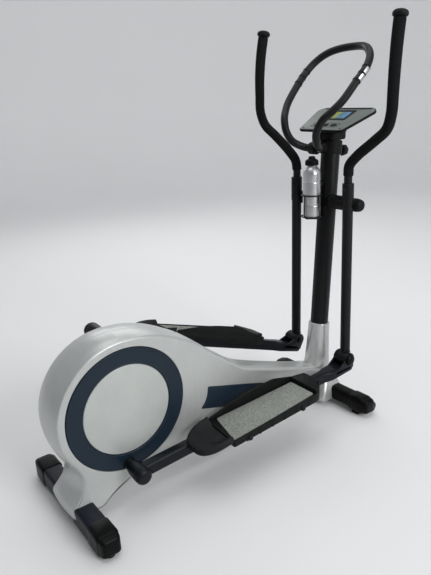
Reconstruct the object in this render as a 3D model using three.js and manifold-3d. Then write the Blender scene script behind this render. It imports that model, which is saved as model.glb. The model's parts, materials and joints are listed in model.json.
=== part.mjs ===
// Elliptical trainer, rear drive. Millimetres, +Z up, +X towards the mast, +Y to the rider's left.
// Inside the "machine" group X = 0 is the crank axis; the group is moved so that the whole
// trainer stands over the origin.
import * as THREE from 'three';
import { mergeVertices } from 'three/addons/utils/BufferGeometryUtils.js';
import Module from 'manifold-3d';

const wasm = await Module();
wasm.setup();

// ---- driving dimensions -------------------------------------------------------------------
const GAP = 0.3;                  // clearance between neighbouring solids
const BORE = 0.9;                 // clearance of a hole round its pin
const CRANK_X = -476.7;           // crank axis in the frame of the whole trainer
const WALL = 3.5;                 // plastic wall of the housing
const STEEL_WALL = 3;             // wall of the steel tubes

const CRANK = { z: 365, throw: 206, ring: 224, window: 165, face: 81.5, pinAngle: 5 };
const DRUM = { radius: 263, faceRadius: 253, shoulder: 52 };
const AXLE_RADIUS = 12.5;
const RAIL = { rear: -188, front: 1020, half: 26, bottom: 84.5, top: 128 };
const SADDLE_HALF = 24;

// Each cross foot: a round tube; a slim sleeve from its housing out to the seam, then the end cap
const REAR_FOOT = {
  x: -204, z: 46, radius: 30, tubeEnd: 234, from: 102, seam: 188, end: 289, sleeveHalf: 36, capHalf: 39,
};
const FRONT_FOOT = {
  x: 1037, z: 50, radius: 28, tubeEnd: 230, from: 102, seam: 190, end: 286, sleeveHalf: 33, capHalf: 37,
};
const WHEEL = { radius: 25, width: 20, x: 1068, y: 262, z: 33 };
const LEVELLER = { radius: 19, height: 9, stud: 5 };

const MAST = { x: 1009, z: 250, lean: 4.385, radius: 38.5, bore: 35.5, bottom: 145, top: 1180 };
const SLEEVE = { top: 372, flange: 196, bottom: 152, topRadius: 45, footRadius: 50.5 };

const PIVOT = { x: 1052, z: 912, y: 142, barrel: 27, barrelHalf: 25, rod: 10 };
const ARM = { x: 1022, y: 144, radius: 21, socketTop: 1002, bore: 17.9 };
const JOINT = { x: 1012, y: 146, z: 245, pin: 7 };          // lower end of an arm hanging straight
const REST_SWING = 0.55;          // degrees: right arm foot forward, left arm foot back
const HANDLE_RADIUS = 16;
const GRIP_RADIUS = 19.4;

const BAR = { half: 20, height: 46, barrel: 30, from: 106, to: 198, jointRise: 41, pinRise: 3 };
const FORK = { gap: 27, plate: 6, radius: 30, length: 100, nose: 24 };
// The pedal lies along its bar: rear and front are measured from the front joint
const PEDAL = { inner: 108, outer: 270, rear: -717, front: -216, heel: 128, lift: 30, wall: 6 };

const CONSOLE = { x: 1004, z: 1204, tilt: 22.3, depth: 196, bottomHalf: 114, topHalf: 155, thick: 14 };
const LOOP_RADIUS = 15;
const CLAMP = { x: 978, z: 1134 };
const BOTTLE = { x: 966, radius: 36, bottom: 856, shoulder: 1042, neck: 1068, top: 1104 };

// Nose and beam of the housing: X, top, bottom, half width, corner radius
const NOSE = [
  [3, 630, 98, 79, 13], [80, 620, 92, 79, 13], [160, 594, 84, 79, 13], [240, 554, 76, 79, 13],
  [310, 511, 70, 78, 14], [370, 461, 66, 75, 15], [450, 396, 66, 68, 17], [530, 338, 66, 59, 15],
  [620, 299, 66, 52.5, 14], [735, 257, 66, 49.5, 13], [850, 216, 66, 49, 13], [960, 182, 66, 50, 13],
  [1012, 160, 24, 51, 13], [1056, 124, 22, 48, 13], [1084, 78, 30, 41, 12],
];
// Boots over the rear and front feet: Z, rear X, front X, half width
const REAR_BOOT = [
  [38, -245, -146, 99], [50, -243, -128, 97], [62, -237, -102, 95], [76, -225, -62, 92],
  [92, -212, -18, 88.5], [120, -197, 0, 83], [150, -190, 0, 80.5], [185, -188, 0, 79],
  [215, -195, 0, 78],
];
const FRONT_BOOT = [
  [24, 948, 1081, 96], [42, 946, 1083, 96], [60, 952, 1080, 93], [78, 962, 1074, 85],
  [98, 974, 1065, 72], [116, 986, 1055, 60], [134, 996, 1044, 49],
];

// ---- finishes -----------------------------------------------------------------------------
function finish(color, roughness, metalness) {
  return new THREE.MeshStandardMaterial({ color, roughness, metalness });
}

const SILVER = finish('#b9bdb9', 0.38, 0.35);
const NAVY = finish('#1d3047', 0.42, 0.1);
const BLACK_STEEL = finish('#15171a', 0.42, 0.4);
const BLACK_PLASTIC = finish('#1a1b1d', 0.6, 0);
const DARK_GREY = finish('#3a3c3d', 0.62, 0);
const FOAM = finish('#121314', 0.9, 0);
const TREAD = finish('#8d9489', 0.72, 0);
const STEEL = finish('#a9adb0', 0.3, 0.9);
const SCREEN = finish('#7f9a4a', 0.2, 0);
const BOTTLE_METAL = finish('#aeb1b2', 0.3, 0.7);

// ---- building blocks ----------------------------------------------------------------------
const trainer = new THREE.Group();
const machine = new THREE.Group();
machine.position.x = CRANK_X;
trainer.add(machine);

function solid(geometry) {
  const bare = geometry.clone();
  bare.deleteAttribute('normal');
  bare.deleteAttribute('uv');
  const merged = mergeVertices(bare, 1e-4);
  const index = Uint32Array.from(merged.index.array);
  const vertices = Float32Array.from(merged.attributes.position.array);
  const mesh = new wasm.Mesh({ numProp: 3, vertProperties: vertices, triVerts: index });
  return new wasm.Manifold(mesh);
}

function geometryOf(manifold) {
  const mesh = manifold.getMesh();
  const geometry = new THREE.BufferGeometry();
  geometry.setAttribute('position', new THREE.BufferAttribute(mesh.vertProperties, 3));
  geometry.setIndex(new THREE.BufferAttribute(mesh.triVerts, 1));
  geometry.computeVertexNormals();
  return geometry;
}

function add(name, shape, material) {
  const geometry = shape.isBufferGeometry ? shape : geometryOf(shape);
  const mesh = new THREE.Mesh(geometry, material);
  mesh.name = name;
  machine.add(mesh);
}

// The right-hand solid is drawn at -Y; the left-hand one is its mirror image.
function addPair(name, right, material) {
  add(`${name}_right`, right, material);
  add(`${name}_left`, right.mirror([0, 1, 0]), material);
}

function joined(solids) {
  return solids.reduce((sum, next) => sum.add(next));
}

function box(x0, x1, y0, y1, z0, z1) {
  const geometry = new THREE.BoxGeometry(x1 - x0, y1 - y0, z1 - z0);
  return solid(geometry.translate((x0 + x1) / 2, (y0 + y1) / 2, (z0 + z1) / 2));
}

// Round bar along Y between y0 and y1
function barY(x, z, radius, y0, y1, sides = 14) {
  const geometry = new THREE.CylinderGeometry(radius, radius, y1 - y0, sides);
  return solid(geometry.translate(x, (y0 + y1) / 2, z));
}

// Round bar along Z between z0 and z1
function barZ(x, y, radius, z0, z1, sides = 12) {
  const geometry = new THREE.CylinderGeometry(radius, radius, z1 - z0, sides);
  return solid(geometry.rotateX(Math.PI / 2).translate(x, y, (z0 + z1) / 2));
}

// Turned solid about an axis along Y; the profile is [radius, y] from low y to high y
function turnedY(x, z, profile, sides = 16) {
  const points = profile.map(([r, y]) => new THREE.Vector2(r, y));
  return solid(new THREE.LatheGeometry(points, sides).translate(x, 0, z));
}

// Turned solid about an axis along Z; the profile is [radius, z] from low z to high z
function turnedZ(profile, sides = 16) {
  const points = profile.map(([r, z]) => new THREE.Vector2(r, z));
  return solid(new THREE.LatheGeometry(points, sides).rotateX(Math.PI / 2));
}

function disc(radius, sides) {
  const shape = new THREE.Shape();
  for (let k = 0; k < sides; k += 1) {
    const a = (2 * Math.PI * k) / sides;
    const p = [radius * Math.cos(a), radius * Math.sin(a)];
    if (k === 0) shape.moveTo(...p);
    else shape.lineTo(...p);
  }
  shape.closePath();
  return shape;
}

function sweep(shape, curve, steps) {
  return solid(new THREE.ExtrudeGeometry(shape, { steps, extrudePath: curve, bevelEnabled: false }));
}

// An outline of [x, z] points pushed out along Y, from y0 to y1
function plateXZ(shape, y0, y1, curveSegments = 5) {
  const geometry = new THREE.ExtrudeGeometry(shape, {
    depth: y1 - y0, bevelEnabled: false, curveSegments,
  });
  return solid(geometry.rotateX(Math.PI / 2).translate(0, y1, 0));
}

// An outline of [x, y] points pushed up from z0 to z1
function plateXY(shape, z0, z1, curveSegments = 3) {
  const geometry = new THREE.ExtrudeGeometry(shape, {
    depth: z1 - z0, bevelEnabled: false, curveSegments,
  });
  return solid(geometry.translate(0, 0, z0));
}

function polygon(points) {
  return new THREE.Shape(points.map(([a, b]) => new THREE.Vector2(a, b)));
}

// Outline with every corner rounded to the given radius
function roundedPolygon(points, radius) {
  const shape = new THREE.Shape();
  const corners = points.map(([a, b]) => new THREE.Vector2(a, b));
  corners.forEach((corner, k) => {
    const before = corners[(k + corners.length - 1) % corners.length];
    const after = corners[(k + 1) % corners.length];
    const enter = corner.clone().add(before.clone().sub(corner).setLength(radius));
    const leave = corner.clone().add(after.clone().sub(corner).setLength(radius));
    if (k === 0) shape.moveTo(enter.x, enter.y);
    else shape.lineTo(enter.x, enter.y);
    shape.quadraticCurveTo(corner.x, corner.y, leave.x, leave.y);
  });
  shape.closePath();
  return shape;
}

// Skin over a row of closed rings that all have the same number of points
function loft(rings) {
  const count = rings[0].length;
  const positions = rings.flat().flatMap((p) => p.toArray());
  const index = [];
  for (let r = 0; r < rings.length - 1; r += 1) {
    for (let k = 0; k < count; k += 1) {
      const a = r * count + k;
      const b = r * count + ((k + 1) % count);
      index.push(a, b, b + count, a, b + count, a + count);
    }
  }
  const last = (rings.length - 1) * count;
  for (let k = 1; k < count - 1; k += 1) {
    index.push(0, k + 1, k, last, last + k, last + k + 1);
  }
  const geometry = new THREE.BufferGeometry();
  geometry.setAttribute('position', new THREE.Float32BufferAttribute(positions, 3));
  geometry.setIndex(index);
  return solid(geometry);
}

// Rounded rectangle as a ring of [a, b] pairs, anticlockwise
function roundedRing(a0, a1, b0, b1, radius, perCorner = 2) {
  const centres = [[a1, b1, 0], [a0, b1, 1], [a0, b0, 2], [a1, b0, 3]];
  return centres.flatMap(([a, b, quarter]) => {
    const ca = a + (a === a1 ? -radius : radius);
    const cb = b + (b === b1 ? -radius : radius);
    return Array.from({ length: perCorner + 1 }, (_, k) => {
      const angle = ((quarter + k / perCorner) * Math.PI) / 2;
      return [ca + radius * Math.cos(angle), cb + radius * Math.sin(angle)];
    });
  });
}

// Value of every column of a station table at a smooth position t from 0 to 1
function stations(table, steps) {
  const columns = table[0].map((_, c) => new THREE.SplineCurve(
    table.map((row, r) => new THREE.Vector2(r, row[c])),
  ));
  return Array.from({ length: steps + 1 }, (_, k) => columns.map((s) => s.getPoint(k / steps).y));
}

// ---- mast line ----------------------------------------------------------------------------
const LEAN = THREE.MathUtils.degToRad(MAST.lean);

function mastX(z) {
  return MAST.x + (z - MAST.z) * Math.tan(LEAN);
}

// Puts a solid drawn upright about X = 0 onto the leaning mast line, keeping its height z
function onMast(upright, z = MAST.z) {
  return upright.translate([0, 0, -z]).rotate([0, MAST.lean, 0]).translate([mastX(z), 0, z]);
}

// ---- base ---------------------------------------------------------------------------------
// Blocks between the rail and the two cross tubes
function rearSaddle(grow) {
  const { x } = REAR_FOOT;
  return plateXZ(polygon([
    [x - 8 - grow, 68], [x + 32 + grow, 60 - grow], [x + 60 + grow, 80 - grow], [x + 60 + grow, 88 + grow],
    [x + 12, 88 + grow], [x - 8 - grow, 79 + grow],
  ]), -SADDLE_HALF - grow, SADDLE_HALF + grow);
}

function frontSaddle(grow) {
  const { x } = FRONT_FOOT;
  return plateXZ(polygon([
    [x - 34 - grow, 58 - grow], [x + 34 + grow, 58 - grow], [x + 22 + grow, 88 + grow],
    [x - 22 - grow, 88 + grow],
  ]), -SADDLE_HALF - grow, SADDLE_HALF + grow);
}

function baseFrame() {
  const rail = box(RAIL.rear, RAIL.front, -RAIL.half, RAIL.half, RAIL.bottom, RAIL.top);
  const post = plateXZ(polygon([
    [-60, 120], [60, 120], [26, 340], [26, 390], [-26, 390], [-26, 340],
  ]), -22, -4);
  const bearing = barY(0, CRANK.z, 30, -40, 6);
  const cheekShape = roundedPolygon([[380, 120], [460, 120], [440, 270], [400, 270]], 10);
  const cheeks = [-1, 1].map((side) => plateXZ(cheekShape, side > 0 ? 50 : -55, side > 0 ? 55 : -50));
  const bridge = box(384, 456, -55, 55, 118, 130);
  const mastPost = onMast(barZ(0, 0, 30, 118, 420));
  const postBore = onMast(barZ(0, 0, 26, RAIL.top, 430));
  const railBore = box(
    RAIL.rear - 1, MAST.x - 50, -RAIL.half + STEEL_WALL, RAIL.half - STEEL_WALL,
    RAIL.bottom + STEEL_WALL, RAIL.top - STEEL_WALL,
  );
  const saddles = joined([rearSaddle(0), frontSaddle(0)]);
  return joined([rail, post, bearing, ...cheeks, bridge, mastPost, saddles])
    .subtract(railBore).subtract(postBore)
    .subtract(barY(0, CRANK.z, AXLE_RADIUS + BORE, -60, 60))
    .subtract(barY(420, 240, 8 + BORE, -80, 80))
    .subtract(barY(REAR_FOOT.x, REAR_FOOT.z, REAR_FOOT.radius + GAP, -40, 40, 20))
    .subtract(barY(FRONT_FOOT.x, FRONT_FOOT.z, FRONT_FOOT.radius + GAP, -40, 40, 20));
}

function footTube(foot) {
  const bore = barY(foot.x, foot.z, foot.radius - STEEL_WALL, -foot.tubeEnd - 1, foot.tubeEnd + 1, 20);
  return barY(foot.x, foot.z, foot.radius, -foot.tubeEnd, foot.tubeEnd, 20).subtract(bore);
}

// Moulded foot cover: a slim sleeve and a wider end cap with a flat top and a flat sole
function footCap(foot) {
  const { x, z, from, seam, end, sleeveHalf, capHalf } = foot;
  const rows = [
    [end, capHalf * 0.62], [end - 4, capHalf * 0.8], [end - 14, capHalf * 0.94], [end - 30, capHalf],
    [seam + 1, capHalf], [seam, sleeveHalf], [from, sleeveHalf],
  ];
  const rings = rows.map(([y, half]) => (
    roundedRing(-half, half, -half, half, half * 0.42, 3)
      .map(([a, b]) => new THREE.Vector3(x + a, -y, Math.max(LEVELLER.height, z + b)))
  ));
  return loft(rings.reverse())
    .subtract(barY(x, z, foot.radius + GAP, -foot.tubeEnd - GAP, -from + 10, 20));
}

function rearCap() {
  return footCap(REAR_FOOT).subtract(barZ(REAR_FOOT.x, -258, LEVELLER.stud + BORE, 0, 40, 12));
}

function frontCap() {
  const { x, y, z, radius, width } = WHEEL;
  const arch = barY(x, z, radius + 3, -y - width / 2 - 2, -y + width / 2 + 2);
  const bracket = box(x - 34, x + 6, -y - width / 2 - 7, -y + width / 2 + 7, z - 12, z + 12);
  const pads = box(FRONT_FOOT.x - 22, FRONT_FOOT.x + 10, -236, -200, 0, 20);
  return footCap(FRONT_FOOT).add(bracket).subtract(arch).add(pads)
    .subtract(barY(FRONT_FOOT.x, FRONT_FOOT.z, FRONT_FOOT.radius + GAP, -FRONT_FOOT.tubeEnd - GAP, -90, 20))
    .subtract(barY(x, z, 4 + BORE, -y - 40, -y + 40, 12));
}

function transportWheel() {
  const { x, y, z, radius, width } = WHEEL;
  const tyre = turnedY(x, z, [
    [0, -y - width / 2], [radius - 4, -y - width / 2], [radius, -y - width / 2 + 4],
    [radius, -y + width / 2 - 4], [radius - 4, -y + width / 2], [0, -y + width / 2],
  ]);
  return tyre.add(barY(x, z, 4, -y - width / 2 - 8, -y + width / 2 + 8, 12));
}

function leveller() {
  const pad = barZ(REAR_FOOT.x, -258, LEVELLER.radius, 0, LEVELLER.height - GAP);
  return pad.add(barZ(REAR_FOOT.x, -258, LEVELLER.stud, 2, 34, 16));
}

// ---- housing ------------------------------------------------------------------------------
function noseBody(grow, steps = 18, perCorner = 2) {
  const rings = stations(NOSE, steps).map(([x, top, bottom, half, corner]) => (
    roundedRing(-half - grow, half + grow, bottom - grow, top + grow, corner, perCorner)
      .map(([y, z]) => new THREE.Vector3(x, y, z))
  ));
  return loft(rings);
}

function bootBody(table, grow, steps = 8, perCorner = 2) {
  const rings = stations(table, steps).map(([z, rear, front, half]) => (
    roundedRing(rear - grow, front + grow, -half - grow, half + grow, 14, perCorner)
      .map(([x, y]) => new THREE.Vector3(x, y, z))
  ));
  return loft(rings);
}

function drumBody(grow, sides = 44, bends = 2) {
  const { radius, faceRadius, shoulder } = DRUM;
  const face = CRANK.face + grow;
  const side = (direction) => Array.from({ length: bends + 1 }, (_, k) => {
    const a = (k / bends) * (Math.PI / 2);
    const r = faceRadius + grow + (radius - faceRadius) * Math.sin(a);
    return [r, direction * (shoulder + grow + (face - shoulder - grow) * Math.cos(a))];
  });
  return turnedY(0, CRANK.z, [[0, -face], ...side(-1), ...side(1).reverse(), [0, face]], sides);
}

function housingHalf() {
  const outside = joined([drumBody(0), noseBody(0), bootBody(REAR_BOOT, 0, 10), bootBody(FRONT_BOOT, 0)]);
  const inside = joined([
    drumBody(-WALL, 22, 1),
    noseBody(-WALL, 9, 1).intersect(box(-300, 1078, -200, 200, 0, 700)),
    bootBody(REAR_BOOT, -WALL, 5, 1).subtract(box(-300, 10, -200, 200, 0, 92)),
    bootBody(FRONT_BOOT, -WALL, 4, 1).subtract(box(900, 1100, -200, 200, 0, 27)),
  ]);
  const window = barY(0, CRANK.z, CRANK.ring + 2.5, -100, 0, 40);
  const shell = outside.subtract(inside).subtract(window);
  const footHole = (foot) => barY(foot.x, foot.z, foot.radius + 2 * GAP, -200, 0, 20);
  const sleeveHole = onMast(barZ(0, 0, SLEEVE.footRadius + 3.5, 100, 400, 20));
  const railRoom = box(RAIL.rear - 1, RAIL.front + 1, -RAIL.half - 1, 0, RAIL.bottom - 1, RAIL.top + 1);
  const half = box(-400, 1200, -200, -GAP / 2, 0, 800);
  return shell.subtract(footHole(REAR_FOOT)).subtract(footHole(FRONT_FOOT))
    .subtract(sleeveHole).subtract(rearSaddle(1)).subtract(frontSaddle(1)).subtract(railRoom)
    .intersect(half);
}

// Navy side panel that lies on the flank of the nose
function sidePanel() {
  const outline = new THREE.Shape();
  outline.moveTo(338, 326);
  outline.lineTo(560, 250);
  outline.quadraticCurveTo(650, 219, 700, 182);
  outline.lineTo(690, 150);
  outline.lineTo(560, 158);
  outline.lineTo(300, 246);
  outline.quadraticCurveTo(338, 274, 338, 326);
  return noseBody(2.4).subtract(noseBody(GAP)).intersect(plateXZ(outline, -100, -30));
}

// ---- mast ---------------------------------------------------------------------------------
function mastTube() {
  const tube = onMast(barZ(0, 0, MAST.radius, MAST.bottom, MAST.top, 20));
  const crossTube = barY(PIVOT.x, PIVOT.z, 29, -114, 114, 20);
  const flanges = [-1, 1].map((side) => barY(
    PIVOT.x, PIVOT.z, 31, side > 0 ? 106 : -114, side > 0 ? 114 : -106, 20,
  ));
  const bore = onMast(barZ(0, 0, MAST.bore, MAST.bottom - 10, MAST.top + 10, 16));
  const crossBore = barY(PIVOT.x, PIVOT.z, 29 - STEEL_WALL, -104, 104);
  return joined([tube, crossTube, ...flanges]).subtract(bore).subtract(crossBore)
    .subtract(barY(PIVOT.x, PIVOT.z, PIVOT.rod + BORE, -150, 150));
}

function mastSleeve() {
  const { top, flange, bottom, topRadius, footRadius } = SLEEVE;
  const inner = MAST.radius + GAP;
  return onMast(turnedZ([
    [inner, bottom], [footRadius, bottom], [footRadius, flange - 4], [footRadius + 8, flange],
    [footRadius + 3, flange + 6], [footRadius, flange + 20], [footRadius - 1, flange + 70],
    [topRadius + 0.5, top - 8], [topRadius - 2, top], [inner, top],
    [inner, bottom],
  ], 20));
}

function pivotAxle() {
  const end = PIVOT.y + PIVOT.barrelHalf + 2 * GAP;
  const head = (side) => turnedY(PIVOT.x, PIVOT.z, (side < 0
    ? [[0, -end - 26], [14, -end - 25], [22, -end - 20], [25, -end - 11], [25, -end], [0, -end]]
    : [[0, end], [25, end], [25, end + 11], [22, end + 20], [14, end + 25], [0, end + 26]]));
  return joined([barY(PIVOT.x, PIVOT.z, PIVOT.rod, -end - 4, end + 4), head(-1), head(1)]);
}

// ---- swing arms ---------------------------------------------------------------------------
// Turns a solid, drawn with its arm hanging straight, about the arm pivot; forward is positive.
function swing(hanging, degrees) {
  return hanging.translate([-PIVOT.x, 0, -PIVOT.z]).rotate([0, -degrees, 0])
    .translate([PIVOT.x, 0, PIVOT.z]);
}

function addArmPair(name, right, material) {
  add(`${name}_right`, swing(right, REST_SWING), material);
  add(`${name}_left`, swing(right, -REST_SWING).mirror([0, 1, 0]), material);
}

function armLower() {
  const { x, y, radius, socketTop, bore } = ARM;
  const tube = barZ(x, -y, radius, JOINT.z + 14, socketTop - 12);
  const collar = barZ(x, -y, radius + 2, socketTop - 96, socketTop);
  const { barrel, barrelHalf } = PIVOT;
  const footHalf = FORK.gap - 1;
  const pivotBarrel = barY(PIVOT.x, PIVOT.z, barrel, -PIVOT.y - barrelHalf, -PIVOT.y + barrelHalf);
  const footBarrel = barY(JOINT.x, JOINT.z, FORK.radius, -JOINT.y - footHalf, -JOINT.y + footHalf);
  return joined([tube, collar, pivotBarrel, footBarrel])
    .subtract(barY(PIVOT.x, PIVOT.z, PIVOT.rod + BORE, -200, -100))
    .subtract(barY(JOINT.x, JOINT.z, JOINT.pin + BORE, -200, -100, 10))
    .subtract(barZ(x, -y, bore, JOINT.z + FORK.radius + 8, socketTop + 5));
}

function handlePath() {
  return new THREE.CatmullRomCurve3([
    [ARM.x, -ARM.y, ARM.socketTop - 86], [ARM.x, -ARM.y, ARM.socketTop + 40], [ARM.x - 2, -150, 1072],
    [ARM.x - 4, -190, 1112], [ARM.x - 6, -270, 1170], [ARM.x - 14, -328, 1215], [ARM.x - 21, -350, 1270],
    [ARM.x - 22, -352, 1340], [ARM.x - 21, -352, 1415], [ARM.x - 15, -350, 1500], [ARM.x, -347, 1594],
  ].map((p) => new THREE.Vector3(...p)), false, 'centripetal');
}

// Stretch of a path between two fractions of its length
function stretch(curve, from, to, count) {
  const points = Array.from({ length: count }, (_, k) => (
    curve.getPointAt(from + ((to - from) * k) / (count - 1))
  ));
  return new THREE.CatmullRomCurve3(points, false, 'centripetal');
}

function ringShape(outer, inner, sides) {
  const shape = disc(outer, sides);
  shape.holes.push(disc(inner, sides));
  return shape;
}

const GRIP_FROM = 0.15;
const GRIP_TO = 0.975;

function handlebar() {
  return sweep(ringShape(HANDLE_RADIUS, HANDLE_RADIUS - STEEL_WALL, 10), handlePath(), 28);
}

function grip() {
  const path = stretch(handlePath(), GRIP_FROM, GRIP_TO, 24);
  return sweep(ringShape(GRIP_RADIUS, HANDLE_RADIUS + 1.8, 10), path, 24);
}

// Mushroom cap that closes the top of the grip
function gripCap() {
  const path = handlePath();
  const tip = path.getPointAt(GRIP_TO).lerp(path.getPointAt(1), 0.12);
  const along = path.getTangentAt(1);
  const tilt = THREE.MathUtils.radToDeg(Math.atan2(along.x, along.z));
  const cap = turnedZ([
    [0, 0], [22, 0], [27, 5], [27.5, 11], [24, 18], [14, 23], [0, 25],
  ], 16).subtract(barZ(0, 0, HANDLE_RADIUS + 2.2, -5, 19, 12));
  return cap.rotate([0, tilt, 0]).translate([tip.x, tip.y, tip.z]);
}

// ---- pedal bars ---------------------------------------------------------------------------
// A pedal bar and all it carries is drawn level, with Z = 0 on the tube's centre line and
// X = 0 below the front joint. The crank angle and the arms' rest swing make both bars the same
// length, the right pin low and the left pin high.
const PIN_ANGLE = THREE.MathUtils.degToRad(CRANK.pinAngle);
const PIN = {
  x: -CRANK.throw * Math.sin(PIN_ANGLE),
  z: CRANK.z - CRANK.throw * Math.cos(PIN_ANGLE),
};
const LEFT_PIN = { x: -PIN.x, z: 2 * CRANK.z - PIN.z };

function jointAfterSwing(degrees) {
  const turn = THREE.MathUtils.degToRad(degrees);
  const [dx, dz] = [JOINT.x - PIVOT.x, JOINT.z - PIVOT.z];
  return {
    x: PIVOT.x + dx * Math.cos(turn) - dz * Math.sin(turn),
    z: PIVOT.z + dx * Math.sin(turn) + dz * Math.cos(turn),
  };
}

const RIGHT_JOINT = jointAfterSwing(REST_SWING);
const LEFT_JOINT = jointAfterSwing(-REST_SWING);
const BAR_RISE = BAR.jointRise - BAR.pinRise;
const BAR_REACH = Math.sqrt(
  (RIGHT_JOINT.x - PIN.x) ** 2 + (RIGHT_JOINT.z - PIN.z) ** 2 - BAR_RISE ** 2,
);

function layBar(level, joint, pin) {
  const slope = Math.atan2(joint.z - pin.z, joint.x - pin.x) - Math.atan2(BAR_RISE, BAR_REACH);
  return level.translate([0, 0, -BAR.jointRise])
    .rotate([0, -THREE.MathUtils.radToDeg(slope), 0]).translate([joint.x, 0, joint.z]);
}

function addBarPair(name, level, material) {
  add(`${name}_right`, layBar(level, RIGHT_JOINT, PIN), material);
  add(`${name}_left`, layBar(level, LEFT_JOINT, LEFT_PIN).mirror([0, 1, 0]), material);
}

function pedalBar() {
  const { half, height, barrel, from, to, jointRise, pinRise } = BAR;
  const yokeHalf = FORK.gap + FORK.plate;
  const rows = [
    [-BAR_REACH + 10, half, height], [-FORK.length - 50, half, height],
    [-FORK.length, yokeHalf, height - 4], [FORK.nose, yokeHalf, height - 12],
  ];
  const tube = loft(rows.map(([x, wide, tall]) => (
    roundedRing(-JOINT.y - wide, -JOINT.y + wide, -tall / 2, tall / 2, 11)
      .map(([y, z]) => new THREE.Vector3(x, y, z))
  )));
  const rearBarrel = turnedY(-BAR_REACH, pinRise, [
    [0, -to], [15, -to], [25, -to + 5], [barrel, -to + 14], [barrel, -half - JOINT.y],
    [barrel - 3, half - JOINT.y + 3], [barrel - 6, -from], [0, -from],
  ]);
  const cheek = new THREE.Shape();
  cheek.moveTo(-FORK.length + 22, 8);
  cheek.lineTo(-FORK.radius, jointRise);
  cheek.absarc(0, jointRise, FORK.radius, Math.PI, 0, true);
  cheek.lineTo(FORK.nose, 0);
  cheek.lineTo(-FORK.length + 22, 0);
  cheek.closePath();
  const plates = [-1, 1].map((side) => {
    const near = -JOINT.y + side * FORK.gap;
    const far = near + side * FORK.plate;
    return plateXZ(cheek, Math.min(near, far), Math.max(near, far));
  });
  const barBore = box(
    -BAR_REACH, -FORK.length - 30, -JOINT.y - half + STEEL_WALL, -JOINT.y + half - STEEL_WALL,
    -height / 2 + STEEL_WALL, height / 2 - STEEL_WALL,
  );
  return joined([tube, rearBarrel, ...plates])
    .subtract(barBore).subtract(barY(-BAR_REACH, pinRise, 14, -to + 16, -from + 1))
    .subtract(barY(0, jointRise, FORK.radius + 5, -JOINT.y - FORK.gap, -JOINT.y + FORK.gap))
    .subtract(barY(0, jointRise, JOINT.pin + BORE, -200, -100, 10));
}

function jointBolt() {
  const reach = FORK.gap + FORK.plate + GAP;
  const y = -JOINT.y;
  const z = BAR.jointRise;
  return joined([
    barY(0, z, JOINT.pin, y - reach - 2, y + reach + 2, 10),
    turnedY(0, z, [
      [0, y - reach - 14], [12, y - reach - 13], [22, y - reach - 8], [24, y - reach], [0, y - reach],
    ], 14),
    turnedY(0, z, [[0, y + reach], [12, y + reach], [12, y + reach + 5], [0, y + reach + 6]], 10),
  ]);
}

// ---- pedals -------------------------------------------------------------------------------
const SKIRT = 27;                 // depth of the tray below its floor
const RIM = 9;                    // height of the tray's low outer wall
const TOE = 70;                   // length of the chamfered toe

// Room for the bar under a pedal
function barRoom(x0, x1) {
  const side = BAR.half + 1;
  return box(x0, x1, -JOINT.y - side, -JOINT.y + side, -60, BAR.height / 2 + 0.6);
}

function pedalOutline(inset) {
  const { inner, outer, rear, front } = PEDAL;
  const toe = front - inset;
  return roundedPolygon([
    [rear + inset, -outer + inset], [toe - TOE, -outer + inset], [toe, -outer + 62 + inset],
    [toe, -inner - 16 - inset], [toe - 60, -inner - inset], [rear + inset, -inner - inset],
  ], 14);
}

function pedalTray() {
  const { lift, wall, rear, front, inner, outer } = PEDAL;
  const body = plateXY(pedalOutline(0), lift - SKIRT, lift + RIM);
  const hollow = plateXY(pedalOutline(wall), lift, lift + SKIRT);
  const stop = front - TOE - 22;
  const sideWall = plateXZ(polygon([
    [rear + 8, lift - 4], [front - 40, lift - 4], [front - 32, lift + 8], [rear + 330, lift + 50],
    [rear + 190, lift + 46], [rear + 98, lift + 34], [rear + 30, lift + 20], [rear + 8, lift + 17],
  ]), -inner - wall - 2, -inner - 0.5);
  const toeBlock = plateXY(roundedPolygon([
    [stop, -outer + 10], [stop + 22, -outer + 10], [front - 10, -outer + 70], [front - 10, -inner - 22],
    [front - 62, -inner - 6], [stop, -inner - 6],
  ], 5), lift - 4, lift + 26);
  const underside = plateXY(pedalOutline(wall + 4), lift - SKIRT - 10, lift - 5.5);
  return body.subtract(hollow).add(sideWall).add(toeBlock)
    .subtract(underside).subtract(barRoom(rear - 60, front + 60));
}

function pedalTread() {
  const { inner, outer, rear, front, wall, lift } = PEDAL;
  const toe = front - TOE - 26;
  const mat = plateXY(roundedPolygon([
    [rear + wall + 3, -outer + wall + 3], [toe, -outer + wall + 3], [toe, -inner - 12],
    [rear + wall + 3, -inner - 12],
  ], 8), lift + GAP, lift + 5);
  const grooves = Array.from({ length: 5 }, (_, k) => {
    const x = rear + (toe - rear) * (0.12 + 0.18 * k);
    return box(x, x + 3, -outer + 22, -inner - 26, lift + 3.6, lift + 8);
  });
  return mat.subtract(joined(grooves));
}

// Scooped heel piece behind the tread
function heelScoop() {
  const { inner, outer, rear, lift, heel } = PEDAL;
  const back = rear - heel;
  const middle = (inner + outer) / 2;
  const outline = new THREE.Shape();
  outline.moveTo(rear - GAP, -inner);
  outline.lineTo(rear - 40, -inner);
  outline.quadraticCurveTo(back, -inner - 4, back, -middle + 6);
  outline.quadraticCurveTo(back, -outer + 6, rear - 36, -outer);
  outline.lineTo(rear - GAP, -outer);
  outline.closePath();
  const side = plateXZ(polygon([
    [rear, lift - 20], [rear, lift + 26], [rear - 36, lift + 22], [back, lift + 5], [back, lift - 6],
    [back + 24, lift - 20],
  ]), -outer, -inner);
  const body = plateXY(outline, lift - 20, lift + 26, 7).intersect(side);
  const scoop = solid(new THREE.SphereGeometry(1, 20, 12)
    .scale(150, 74, 50).translate(rear + 24, -middle - 4, lift + 46));
  return body.subtract(scoop).subtract(barRoom(back - 20, rear + 20));
}

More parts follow.
